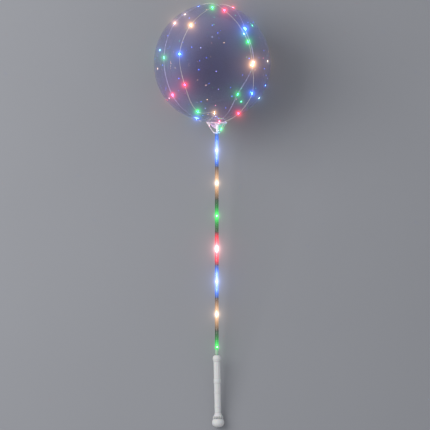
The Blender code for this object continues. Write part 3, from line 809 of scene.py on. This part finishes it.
def press_on_floor(thing):
    """Flattens the piece where it rests on the floor."""
    select_only(thing)
    bpy.ops.object.mode_set(mode="EDIT")
    bpy.ops.mesh.select_all(action="SELECT")
    bpy.ops.mesh.bisect(
        plane_co=(0, 0, 0), plane_no=(0, 0, 1), use_fill=True, clear_inner=True,
        threshold=MERGE_DISTANCE)
    face_outwards()


def finish_piece(thing, nodes, materials):
    """Smooths and dresses a finished piece, ties it to the root, and hides the nodes that it stands for."""
    select_only(thing)
    bpy.ops.object.shade_smooth_by_angle(angle=SHARP_ANGLE)
    thing.data.materials.clear()
    for material in materials:
        thing.data.materials.append(material)
    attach(thing, "root")
    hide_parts(*nodes)


def arc(centre, size, start, end, steps, power=1.0):
    """Points of (radius, height) on a quarter-ellipse or part of one, in degrees up from its widest."""
    points = []
    for i in range(steps + 1):
        angle = math.radians(start + (end - start) * i / steps)
        across = max(0.0, math.cos(angle)) ** power
        points.append((centre[0] + size[0] * across, centre[1] + size[1] * math.sin(angle)))
    return points


# Where things lie


def film_radius(polar):
    along, across = math.cos(polar), math.sin(polar)
    swell = SHOULDER_SWELL * across**2 * max(0.0, -along)
    return BALLOON_RADIUS * (1 + POLE_STRETCH * along**2 + swell)


NEAR_POLE = film_radius(math.pi)


def balloon_frame():
    """The balloon's own frame: its centre, with z through its far end."""
    pole = Vector((0, 0, CUP_BASE + CUP_HEIGHT + FILM_SEAT))
    lean = Matrix.Rotation(-BALLOON_LEAN, 4, "Y")
    return Matrix.Translation(pole + lean @ Vector((0, 0, NEAR_POLE))) @ lean


def handle_frame():
    """The handle's own frame: z up it from its domed end."""
    lean = Matrix.Rotation(-HANDLE_LEAN, 4, "Y")
    return Matrix.Translation(lean @ Vector((0, 0, -HANDLE_LENGTH))) @ lean


def lying_frame():
    """Lays the upright object back onto its balloon and its end cap."""
    balloon_along = balloon_frame().to_translation().z
    cap_along = -(HANDLE_LENGTH - CAP_WIDEST) * math.cos(HANDLE_LEAN)
    cap_rest = CAP_RADIUS - CAP_FLAT
    tilt = math.asin((BALLOON_RADIUS - BALLOON_FLAT - cap_rest) / (balloon_along - cap_along))
    height = cap_rest - cap_along * math.sin(tilt)
    turn = Matrix.Rotation(tilt - math.pi / 2, 4, "X")
    return Matrix.Translation((*LYING_PLACE, height)) @ turn


LYING = lying_frame()


# Balloon


def film_profile():
    """The film's outer side, from its far end to the end of its tail."""
    points = [(0, film_radius(0) - FILM_INSET)]
    for i in range(1, FILM_ROWS + 1):
        polar = (math.pi - FUNNEL_ANGLE) * i / FILM_ROWS
        radius = film_radius(polar) - FILM_INSET
        points.append((radius * math.sin(polar), radius * math.cos(polar)))
    mouth_radius, mouth_height = points[-1]
    fall = FUNNEL_DROP + mouth_height + NEAR_POLE
    for i in range(1, FUNNEL_ROWS + 1):
        share = i / FUNNEL_ROWS
        flare = (mouth_radius - TAIL_RADIUS) * (1 - share) ** FUNNEL_POWER
        points.append((TAIL_RADIUS + flare, mouth_height - fall * share))
    tail_end = -NEAR_POLE - TAIL_DROP
    points += [
        (TAIL_RADIUS, tail_end + TAIL_EDGE),
        (TAIL_RADIUS - TAIL_EDGE * 0.3, tail_end + TAIL_EDGE * 0.3),
        (TAIL_RADIUS - TAIL_EDGE, tail_end),
        (0, tail_end),
    ]
    return points


def gather_neck(film, sides):
    """Draws the film in between the gathers, more and more towards the tail."""
    places = []
    for vertex in film.data.vertices:
        radius = math.hypot(vertex.co.x, vertex.co.y)
        near = min(1.0, max(0.0, (GATHER_START - radius) / GATHER_FADE))
        in_neck = vertex.co.z < -0.1 and radius > 1e-5
        places.append((in_neck, round(near * GATHER_STEPS), phase_of(vertex, sides, GATHER_SIDES)))
    for step in range(1, GATHER_STEPS + 1):
        for phase, level in enumerate((1.0, 0.5)):
            chosen = [place == (True, step, phase) for place in places]
            if any(chosen):
                resize_where(film, chosen, 1 - GATHER_DEPTH * (step / GATHER_STEPS) ** 2 * level)


class BALLOON_OT_film(bpy.types.Operator):
    """Blow the clear balloon, gather its neck and lay it on the floor"""

    bl_idname = "balloon.film"
    bl_label = "Balloon"

    def execute(self, context):
        settings = context.scene.balloon_settings
        sides = settings.gathers * GATHER_SIDES
        film = turned("balloon_film", film_profile(), sides)
        gather_neck(film, sides)
        lay_down(film, balloon_frame())
        press_on_floor(film)
        apply_modifier(
            film, "SOLIDIFY", "Film thickness", {"thickness": settings.film_thickness, "offset": -1.0})
        finish_piece(film, ["balloon"], [blown_film(settings)])
        return {"FINISHED"}


# Cup


def cup_radius(height):
    rise = 1 - (1 - height / CUP_HEIGHT) ** CUP_BULGE
    return CUP_BASE_RADIUS + (CUP_RIM_RADIUS - CUP_BASE_RADIUS) * rise


def cup_inner_radius(height):
    step = 0.0001
    slope = (cup_radius(height) - cup_radius(height - step)) / step
    return cup_radius(height) - CUP_WALL * math.hypot(1, slope)


def cup_profile():
    """The cup's wall: a rounded rim band, the bowl, the spigot below it, and back up the inside."""
    band = CUP_HEIGHT - RIM_BAND
    proud = CUP_RIM_RADIUS + RIM_PROUD
    lip = CUP_RIM_RADIUS - CUP_WALL
    edge = 0.0006
    heights = [band * (i / CUP_ROWS) for i in range(CUP_ROWS, 0, -1)]
    bore = SPIGOT_RADIUS - SPIGOT_WALL
    points = [(lip + edge, CUP_HEIGHT), (proud - edge, CUP_HEIGHT)]
    points += [(proud - edge * 0.3, CUP_HEIGHT - edge * 0.3), (proud, CUP_HEIGHT - edge)]
    points += [(proud, band + edge), (proud - edge * 0.3, band + edge * 0.3), (proud - edge, band)]
    points += [(cup_radius(height), height) for height in heights[1:]]
    points += [(CUP_BASE_RADIUS, 0), (SPIGOT_RADIUS, 0), (SPIGOT_RADIUS, -SPIGOT_LENGTH)]
    points += [(bore, -SPIGOT_LENGTH), (bore, CUP_FLOOR)]
    points += [(cup_inner_radius(height), height) for height in reversed(heights[:-2])]
    points += [(lip, CUP_HEIGHT - edge), (lip + edge * 0.3, CUP_HEIGHT - edge * 0.3), points[0]]
    return points


def window_outline():
    """One window's outline: sides that leave an even rib, a rounded sill and an arch on top."""

    def half_width(height):
        return cup_radius(height) * math.sin(math.pi / WINDOWS) - RIB_WIDTH / 2

    shares = [i / WINDOW_ROWS for i in range(WINDOW_ROWS + 1)]
    heights = [WINDOW_SILL + (WINDOW_SPRING - WINDOW_SILL) * share for share in shares]
    right = [(half_width(WINDOW_SILL) - 0.0008, WINDOW_SILL - 0.0003)]
    right += [(half_width(height), height) for height in heights]
    for degrees in range(15, 90, 15):
        angle = math.radians(degrees)
        rise = (WINDOW_TOP - WINDOW_SPRING) * math.sin(angle)
        right.append((half_width(WINDOW_SPRING) * math.cos(angle), WINDOW_SPRING + rise))
    left = [(-width, height) for width, height in reversed(right)]
    return right + [(0, WINDOW_TOP)] + left


def window_cutter(outline, turn):
    """A solid the shape of one window, drawn, filled and pushed out through the cup's wall."""
    points = [(x, -CUP_BASE_RADIUS, z) for x, z in outline]
    cutter = draw_points("window_cutter", points + points[:1])
    bpy.ops.mesh.edge_face_add()
    bpy.ops.mesh.extrude_region_move(TRANSFORM_OT_translate={"value": (0, -CUP_RIM_RADIUS, 0)})
    face_outwards()
    cutter.rotation_euler = (0, 0, turn)
    return cutter


class BALLOON_OT_cup(bpy.types.Operator):
    """Mould the clear open-work cup that holds the balloon"""

    bl_idname = "balloon.cup"
    bl_label = "Cup"

    def execute(self, context):
        cup = turned("balloon_cup_moulded", cup_profile(), CUP_SIDES)
        outline = window_outline()
        for i in range(WINDOWS):
            cutter = window_cutter(outline, math.tau * (i + 0.5) / WINDOWS)
            apply_modifier(cup, "BOOLEAN", "Window", {"operation": "DIFFERENCE", "object": cutter})
            bpy.data.objects.remove(cutter, do_unlink=True)
        lay_down(cup, Matrix.Translation((0, 0, CUP_BASE)))
        finish_piece(
            cup, ["balloon_cup"], [clear_polystyrene(context.scene.cup_settings)])
        return {"FINISHED"}


# Stick


def pipe_profile(outer, inner, low, high):
    """A pipe's wall with eased ends."""
    ease = (outer - inner) * 0.2
    return [
        (inner + ease, high),
        (outer - ease, high),
        (outer, high - ease),
        (outer, low + ease),
        (outer - ease, low),
        (inner + ease, low),
        (inner, low + ease),
        (inner, high - ease),
        (inner + ease, high),
    ]


class BALLOON_OT_stick(bpy.types.Operator):
    """Draw the clear lit tube and the frosted sleeve below it"""

    bl_idname = "balloon.stick"
    bl_label = "Stick"

    def execute(self, context):
        settings, string = context.scene.stick_settings, context.scene.string_settings
        profile = pipe_profile(TUBE_RADIUS, TUBE_BORE, SLEEVE_SHOWN, TUBE_TOP)
        tube = turned("stick_tube_lit", profile, STICK_SIDES)
        lay_down(tube)
        finish_piece(tube, ["stick_tube"], [lit_acrylic(settings, string)])
        low, high = -SLEEVE_INSERT, SLEEVE_SHOWN + SLEEVE_INSERT
        profile = pipe_profile(SLEEVE_RADIUS, SLEEVE_RADIUS - SLEEVE_WALL, low, high)
        sleeve = turned("stick_sleeve_frosted", profile, STICK_SIDES)
        lay_down(sleeve)
        finish_piece(sleeve, ["stick_sleeve"], [frosted_polypropylene(settings, string)])
        return {"FINISHED"}


# Handle


def barrel_radius(height):
    low, high = CAP_HEIGHT, HANDLE_LENGTH - NOSE_HEIGHT
    share = (height - low) / (high - low)
    return BARREL_LOW_RADIUS + (BARREL_TOP_RADIUS - BARREL_LOW_RADIUS) * share


def nose_profile():
    """The ball-shaped collar: a rounded top round the sleeve, a waist, a foot and the plug below."""
    low, high = HANDLE_LENGTH - NOSE_HEIGHT, HANDLE_LENGTH
    bore = SLEEVE_RADIUS + SLIP_FIT
    widest = low + 0.0080
    waist = ((0.0001, 0.0010), (0.0004, 0.0021), (0.0009, 0.0030), (0.0015, 0.0037), (0.0014, 0.0044))
    foot = ((0.0009, widest - 0.0054), (0.0005, low + 0.0012), (0.0002, low + 0.0003), (-0.0002, low))
    points = [(bore, high - 0.0004), (bore + 0.0004, high), (bore + 0.0016, high)]
    points += arc((0, widest), (NOSE_RADIUS, high - widest), 74, 0, 14, 0.7)
    points += [(NOSE_RADIUS - inward, widest - down) for inward, down in waist]
    points += [(BARREL_TOP_RADIUS + outward, height) for outward, height in foot]
    plug = CELL_BORE_RADIUS - SLIP_FIT
    seat = high - SLEEVE_INSERT - SLIP_FIT
    points += [(plug, low), (plug, low - PLUG_LENGTH), (LEAD_HOLE_RADIUS, low - PLUG_LENGTH)]
    return points + [(LEAD_HOLE_RADIUS, seat), (bore, seat), (bore, high - 0.0004)]


def barrel_profile():
    """The barrel's wall, with a rounded band and two rounded rings."""
    low, high = CAP_HEIGHT + TOUCH_GAP, HANDLE_LENGTH - NOSE_HEIGHT - TOUCH_GAP
    outer = barrel_radius(high)
    points = [(CELL_BORE_RADIUS, high), (outer - 0.0003, high), (outer, high - 0.0003)]
    top = high - FLUTE_MARGIN
    for height, width, proud in BARREL_RINGS:
        half = width / 2
        bottom = height + half + FLUTE_MARGIN
        rows = [top + (bottom - top) * i / FLUTE_ROWS for i in range(FLUTE_ROWS + 1)]
        points += [(barrel_radius(z), z) for z in rows]
        radius = barrel_radius(height)
        points += [
            (barrel_radius(height + half), height + half),
            (radius + proud * 0.75, height + half - proud * 0.35),
            (radius + proud, height + half - proud),
            (radius + proud, height - half + proud),
            (radius + proud * 0.75, height - half + proud * 0.35),
            (barrel_radius(height - half), height - half),
        ]
        top = height - half - FLUTE_MARGIN
    points += [(barrel_radius(top), top), (barrel_radius(low), low), (CELL_BORE_RADIUS, low)]
    return points + [(CELL_BORE_RADIUS, high)]


def flute_barrel(barrel):
    """Presses the shallow flutes into the three plain stretches between the rings."""
    top = HANDLE_LENGTH - NOSE_HEIGHT - TOUCH_GAP - FLUTE_MARGIN
    stretches = []
    for height, width, _proud in BARREL_RINGS:
        stretches.append((height + width / 2 + FLUTE_MARGIN, top))
        top = height - width / 2 - FLUTE_MARGIN

    def fluted(radius, height):
        between = any(low + 0.0005 < height < high - 0.0005 for low, high in stretches)
        return between and radius > (CELL_BORE_RADIUS + BARREL_LOW_RADIUS) / 2

    press_grooves(barrel, fluted, FLUTES, FLUTE_DEPTHS, BARREL_TOP_RADIUS)


def cap_profile():
    """The screw cap, hollow inside: neck, flare, collar, groove and a domed end."""
    spigot_top = CAP_HEIGHT + PLUG_LENGTH
    hollow = CAP_SPIGOT_RADIUS - CAP_SPIGOT_WALL
    points = [(0, CAP_HOLLOW_FLOOR), (hollow, CAP_HOLLOW_FLOOR), (hollow, spigot_top)]
    points += [(CAP_SPIGOT_RADIUS, spigot_top), (CAP_SPIGOT_RADIUS, CAP_HEIGHT)]
    points += [(CAP_NECK_RADIUS - 0.0002, CAP_HEIGHT), (CAP_NECK_RADIUS, CAP_HEIGHT - 0.0002)]
    half = COLLAR_WIDTH / 2
    flare_end = (COLLAR_RADIUS - 0.0006, COLLAR_HEIGHT + half + 0.0010)
    for i in range(1, 10):
        share = i / 10
        radius = CAP_NECK_RADIUS + (flare_end[0] - CAP_NECK_RADIUS) * share**1.7
        points.append((radius, CAP_HEIGHT + (flare_end[1] - CAP_HEIGHT) * share))
    points += [flare_end, (COLLAR_RADIUS - 0.0001, COLLAR_HEIGHT + half + 0.0003)]
    points += [(COLLAR_RADIUS, COLLAR_HEIGHT + half - 0.0002), (COLLAR_RADIUS, COLLAR_HEIGHT - half + 0.0002)]
    groove = COLLAR_HEIGHT - half
    for i in range(1, 9):
        share = i / 8
        dip = GROOVE_DEPTH * math.sin(math.pi * share) ** 0.8
        points.append((COLLAR_RADIUS - dip, groove - GROOVE_WIDTH * share))
    shoulder = groove - GROOVE_WIDTH
    for i in range(1, 11):
        share = i / 10
        swell = math.sin(share * math.pi / 2)
        radius = COLLAR_RADIUS + (CAP_RADIUS - COLLAR_RADIUS) * swell
        points.append((radius, shoulder + (CAP_WIDEST - shoulder) * share))
    dome = arc((0, CAP_WIDEST), (CAP_RADIUS, -CAP_WIDEST), 0, 90, 18, 0.8)
    return points + dome[1:-1] + [(0, 0), (0, 0)]


def notch_collar(cap):
    """Cuts the grip notches into the collar, and leaves the knobs between them."""
    reach = COLLAR_WIDTH / 2
    low, high = COLLAR_HEIGHT - reach - 0.0001, COLLAR_HEIGHT + reach + 0.0012

    def on_collar(radius, height):
        return low < height < high and radius > COLLAR_RADIUS - 0.002

    press_grooves(cap, on_collar, NOTCHES, NOTCH_DEPTHS, COLLAR_RADIUS)


class BALLOON_OT_handle(bpy.types.Operator):
    """Mould the white handle: the ball-shaped nose, the fluted barrel and the screw cap"""

    bl_idname = "balloon.handle"
    bl_label = "Handle"

    def execute(self, context):
        white = moulded_abs(context.scene.handle_settings)
        nose = turned("handle_nose_moulded", nose_profile(), HANDLE_SIDES)
        barrel = turned("handle_barrel_fluted", barrel_profile(), HANDLE_SIDES)
        flute_barrel(barrel)
        cap = turned("handle_cap_moulded", cap_profile(), HANDLE_SIDES)
        notch_collar(cap)
        for piece in (nose, barrel, cap):
            lay_down(piece, handle_frame())
        press_on_floor(cap)
        for piece, node in ((nose, "handle_nose"), (barrel, "handle_barrel"), (cap, "handle_end_cap")):
            finish_piece(piece, [node], [white])
        return {"FINISHED"}


# Light string


def polar_offset(radius, longitude, height):
    turn = math.radians(longitude)
    return Vector((radius * math.sin(turn), -radius * math.cos(turn), height))


def on_balloon(polar, longitude, lift):
    angle = math.radians(polar)
    offset = polar_offset(math.sin(angle), longitude, math.cos(angle))
    return balloon_frame() @ (offset * (film_radius(angle) + lift))


def hug_film(point, frame_now, frame_back):
    """The point, moved straight towards or from the balloon's centre, so that the wires lie on the film."""
    inside = frame_back @ point
    polar = inside.angle(Vector((0, 0, 1)))
    if polar > math.pi - 2 * FUNNEL_ANGLE:
        return point
    least = film_radius(polar) + WIRE_RADIUS + TOUCH_GAP
    most = film_radius(polar) + CROSSING_LIFT
    length = min(most, max(least, inside.length))
    return frame_now @ (inside * (length / inside.length))


def string_stops():
    """The string's stops in order: (point, True where a light sits)."""
    cup = Vector((0, 0, CUP_BASE))
    stops = [(Vector((0, 0, WIRE_START)), False)]
    for i in range(STICK_LEDS):
        stops.append((Vector((0, 0, LOWEST_LED + LED_PITCH * i)), True))
    stops += [(cup + polar_offset(*stop), False) for stop in WAY_OUT]
    for polar, longitude, light in ROUND_BALLOON:
        lift = LED_RADIUS + TOUCH_GAP if light else CROSSING_LIFT
        stops.append((on_balloon(polar, longitude, lift), light))
    stops += [(cup + polar_offset(*stop), False) for stop in WAY_IN]
    stops.append((cup + polar_offset(*LAST_LED), True))
    stops.append((cup + polar_offset(*WIRE_END), False))
    return stops


def smooth_point(before, start, end, after, share):
    """A point between start and end, on a smooth curve through all four."""
    leaving, arriving = (end - before) / 2, (after - start) / 2
    square, cube = share**2, share**3
    point = start * (2 * cube - 3 * square + 1) + leaving * (cube - 2 * square + share)
    return point + end * (3 * square - 2 * cube) + arriving * (cube - square)


def string_route():
    """The string's points, a few millimetres apart, and each light's place and direction."""
    stops = string_stops()
    places = [stop[0] for stop in stops]
    frame_now = balloon_frame()
    frame_back = frame_now.inverted()
    route, lights = [], []
    for i, (start, has_light) in enumerate(stops):
        before, end = places[max(i - 1, 0)], places[min(i + 1, len(places) - 1)]
        if has_light:
            lights.append((start, (end - before).normalized()))
        route.append(start)
        if i + 1 < len(stops):
            after = places[min(i + 2, len(places) - 1)]
            steps = max(1, round((end - start).length / ROUTE_STEP))
            for k in range(1, steps):
                if end.z < CUP_BASE - 0.01:
                    point = start.lerp(end, k / steps)
                else:
                    point = smooth_point(before, start, end, after, k / steps)
                route.append(hug_film(point, frame_now, frame_back))
    return route, lights


def twisted_pair(route, offset, twist):
    """Two strands laid round each other along the route, as two lists of points."""
    strands = [[], []]
    side = Vector((1, 0, 0))
    gone = 0.0
    for i, point in enumerate(route):
        before, after = route[max(i - 1, 0)], route[min(i + 1, len(route) - 1)]
        along = (after - before).normalized()
        side = (side - along * side.dot(along)).normalized()
        up = along.cross(side)
        gone += (point - before).length
        turn = math.tau * gone / twist
        swing = (side * math.cos(turn) + up * math.sin(turn)) * offset
        strands[0].append(point + swing)
        strands[1].append(point - swing)
    return strands


def led_profile():
    """One resin drop along z, closed at both ends round the wires."""
    points = [(0.0, -LED_LENGTH / 2)]
    for degrees in range(-75, 90, 15):
        angle = math.radians(degrees)
        points.append((DROP_RADIUS * math.cos(angle) ** 0.75, LED_LENGTH / 2 * math.sin(angle)))
    return points + [(0.0, LED_LENGTH / 2)]


class BALLOON_OT_wire(bpy.types.Operator):
    """Lay the pair of thin wires up the stick and round the balloon"""

    bl_idname = "balloon.wire"
    bl_label = "Wire"

    def execute(self, context):
        settings = context.scene.string_settings
        route, _lights = string_route()
        start_alone()
        bpy.ops.object.add(type="CURVE")
        wire = bpy.context.object
        wire.name = "light_string_pair"
        curve = wire.data
        curve.dimensions = "3D"
        curve.bevel_depth = WIRE_RADIUS * 0.5
        curve.bevel_resolution = 1
        curve.use_fill_caps = True
        for strand in twisted_pair(route, WIRE_RADIUS * 0.5, settings.twist):
            spline = curve.splines.new("POLY")
            spline.points.add(len(strand) - 1)
            for target, point in zip(spline.points, strand):
                target.co = (*point, 1)
        bpy.ops.object.convert(target="MESH")
        wire = bpy.context.object
        lay_down(wire)
        finish_piece(wire, ["light_string_wire"], [lacquered_wire(settings)])
        return {"FINISHED"}


class BALLOON_OT_lights(bpy.types.Operator):
    """Cast a resin drop with its light at each place on the string"""

    bl_idname = "balloon.lights"
    bl_label = "Lights"

    def execute(self, context):
        settings = context.scene.string_settings
        _route, lights = string_route()
        cores, ends, tamed = {}, {}, {}
        for colour in LED_COLOURS:
            tint = getattr(settings, colour)
            deep = tuple(c**1.3 for c in tint)
            pale = paler(tint, IN_TUBE_WHITENESS)
            cores[colour] = lit_resin(colour + "_lit", deep, settings.glow * LIGHT_STRENGTH[colour])
            ends[colour] = lit_resin(colour + "_edge", deep, settings.glow * EDGE_SHARE)
            tamed[colour] = lit_resin(colour + "_in_tube", pale, settings.glow * IN_TUBE_SHARE)
        pattern = turned("led_pattern", led_profile(), DROP_SIDES)
        for polygon in pattern.data.polygons:
            polygon.material_index = 0 if abs(polygon.center.z) < LED_CORE else 1
        for i, (where, along) in enumerate(lights):
            colour = LED_COLOURS[i % len(LED_COLOURS)]
            select_only(pattern)
            bpy.ops.object.duplicate()
            drop = bpy.context.object
            drop.name = drop.data.name = "led_drop_%02d" % (i + 1)
            placing = Matrix.Translation(where) @ along.to_track_quat("Z", "Y").to_matrix().to_4x4()
            lay_down(drop, placing)
            indices = [polygon.material_index for polygon in drop.data.polygons]
            core, edge = cores[colour], ends[colour]
            if i < STICK_LEDS:
                core = tamed[colour]
            elif i == len(lights) - 1:
                # The last light is down in the cup, where the neck and the ribs hold back its glow
                core = edge
            elif where.y > FAR_SIDE:
                # The film in front of the lights on the far side spreads their glow over the whole drop
                edge = core
            finish_piece(drop, ["led_%02d" % (i + 1)], [core, edge])
            drop.data.polygons.foreach_set("material_index", indices)
        bpy.data.objects.remove(pattern, do_unlink=True)
        return {"FINISHED"}


# Stage


def add_key_lamp(power):
    """A large soft lamp at the left, which isn't seen in reflections or through the film."""
    start_alone()
    bpy.ops.object.light_add(type="AREA", location=KEY_PLACE)
    lamp = bpy.context.object
    lamp.name = "key_lamp"
    lamp.data.shape = "SQUARE"
    lamp.data.size = KEY_SIZE
    lamp.data.energy = power
    lamp.visible_glossy = lamp.visible_transmission = False
    lamp.rotation_euler = (Vector(KEY_TARGET) - Vector(KEY_PLACE)).to_track_quat("-Z", "Y").to_euler()


def add_camera(scene):
    """Looks square at the lying stick, from far away with a long lens, as the photograph shows it."""
    middle = Vector(((PHOTO_SIDE / 2 - ORIGIN_COLUMN) * PIXEL, 0, (ORIGIN_ROW - PHOTO_SIDE / 2) * PIXEL))
    turn = LYING.to_3x3()
    away, up = turn @ Vector((0, -1, 0)), turn @ Vector((0, 0, 1))
    start_alone()
    bpy.ops.object.camera_add(location=LYING @ middle + away * CAMERA_DISTANCE)
    camera = bpy.context.object
    camera.name = "camera"
    camera.rotation_euler = Matrix((up.cross(away), up, away)).transposed().to_euler()
    camera.data.sensor_width = SENSOR_WIDTH
    camera.data.lens = SENSOR_WIDTH * CAMERA_DISTANCE / (PHOTO_SIDE * PIXEL)
    camera.data.clip_end = CAMERA_DISTANCE * 2
    scene.camera = camera


def add_halos(scene):
    """A lens's soft glow round whatever is brighter than the scene's white."""
    scene.use_nodes = True
    tree = scene.node_tree
    tree.nodes.clear()
    picture = add_node(tree, "CompositorNodeRLayers").outputs["Image"]
    glow = add_node(tree, "CompositorNodeGlare", {"glare_type": "BLOOM", "quality": "HIGH"}, {
        "Image": picture, "Threshold": 0.95, "Strength": 11.0, "Size": 0.12, "Saturation": 1.0})
    add_node(tree, "CompositorNodeComposite", None, {"Image": glow.outputs["Image"]})


class BALLOON_OT_stage(bpy.types.Operator):
    """Set the plain floor, the soft light and the camera"""

    bl_idname = "balloon.stage"
    bl_label = "Stage"

    def execute(self, context):
        settings = context.scene.stage_settings
        start_alone()
        bpy.ops.mesh.primitive_plane_add(size=FLOOR_SIZE, location=(0, 0, -FLOOR_GAP))
        floor = bpy.context.object
        floor.name = "floor"
        bpy.ops.object.transform_apply(location=True, rotation=True, scale=True)
        floor.data.materials.append(painted_floor(settings))
        world = bpy.data.worlds.new("soft_light")
        world.use_nodes = True
        background = world.node_tree.nodes["Background"]
        background.inputs["Color"].default_value = (*linear("#EEF1F8"), 1)
        background.inputs["Strength"].default_value = settings.light
        context.scene.world = world
        add_key_lamp(settings.key)
        add_camera(context.scene)
        context.scene.view_settings.view_transform = "Standard"
        add_halos(context.scene)
        return {"FINISHED"}


class BALLOON_PT_pieces(bpy.types.Panel):
    """Lists the pieces and what can be changed about them"""

    bl_idname = "BALLOON_PT_pieces"
    bl_label = "LED lollipop balloon"
    bl_space_type = "VIEW_3D"
    bl_region_type = "UI"
    bl_category = "Balloon"

    def draw(self, context):
        for operator, group in PIECES:
            box = self.layout.box()
            box.operator(operator.bl_idname)
            settings = getattr(context.scene, group)
            for name in settings.__annotations__:
                box.prop(settings, name)


PIECES = (
    (BALLOON_OT_film, "balloon_settings"),
    (BALLOON_OT_cup, "cup_settings"),
    (BALLOON_OT_stick, "stick_settings"),
    (BALLOON_OT_handle, "handle_settings"),
    (BALLOON_OT_wire, "string_settings"),
    (BALLOON_OT_lights, "string_settings"),
    (BALLOON_OT_stage, "stage_settings"),
)
SETTINGS = (
    ("balloon_settings", BalloonSettings),
    ("cup_settings", CupSettings),
    ("stick_settings", StickSettings),
    ("handle_settings", HandleSettings),
    ("string_settings", StringSettings),
    ("stage_settings", StageSettings),
)


def register():
    for name, group in SETTINGS:
        bpy.utils.register_class(group)
        setattr(bpy.types.Scene, name, PointerProperty(type=group))
    for operator, _group in PIECES:
        bpy.utils.register_class(operator)
    bpy.utils.register_class(BALLOON_PT_pieces)


def unregister():
    bpy.utils.unregister_class(BALLOON_PT_pieces)
    for operator, _group in reversed(PIECES):
        bpy.utils.unregister_class(operator)
    for name, group in reversed(SETTINGS):
        delattr(bpy.types.Scene, name)
        bpy.utils.unregister_class(group)


def main():
    register()
    bpy.ops.balloon.stage()
    bpy.ops.balloon.film()
    bpy.ops.balloon.cup()
    bpy.ops.balloon.stick()
    bpy.ops.balloon.handle()
    bpy.ops.balloon.wire()
    bpy.ops.balloon.lights()


if __name__ == "__main__":
    main()
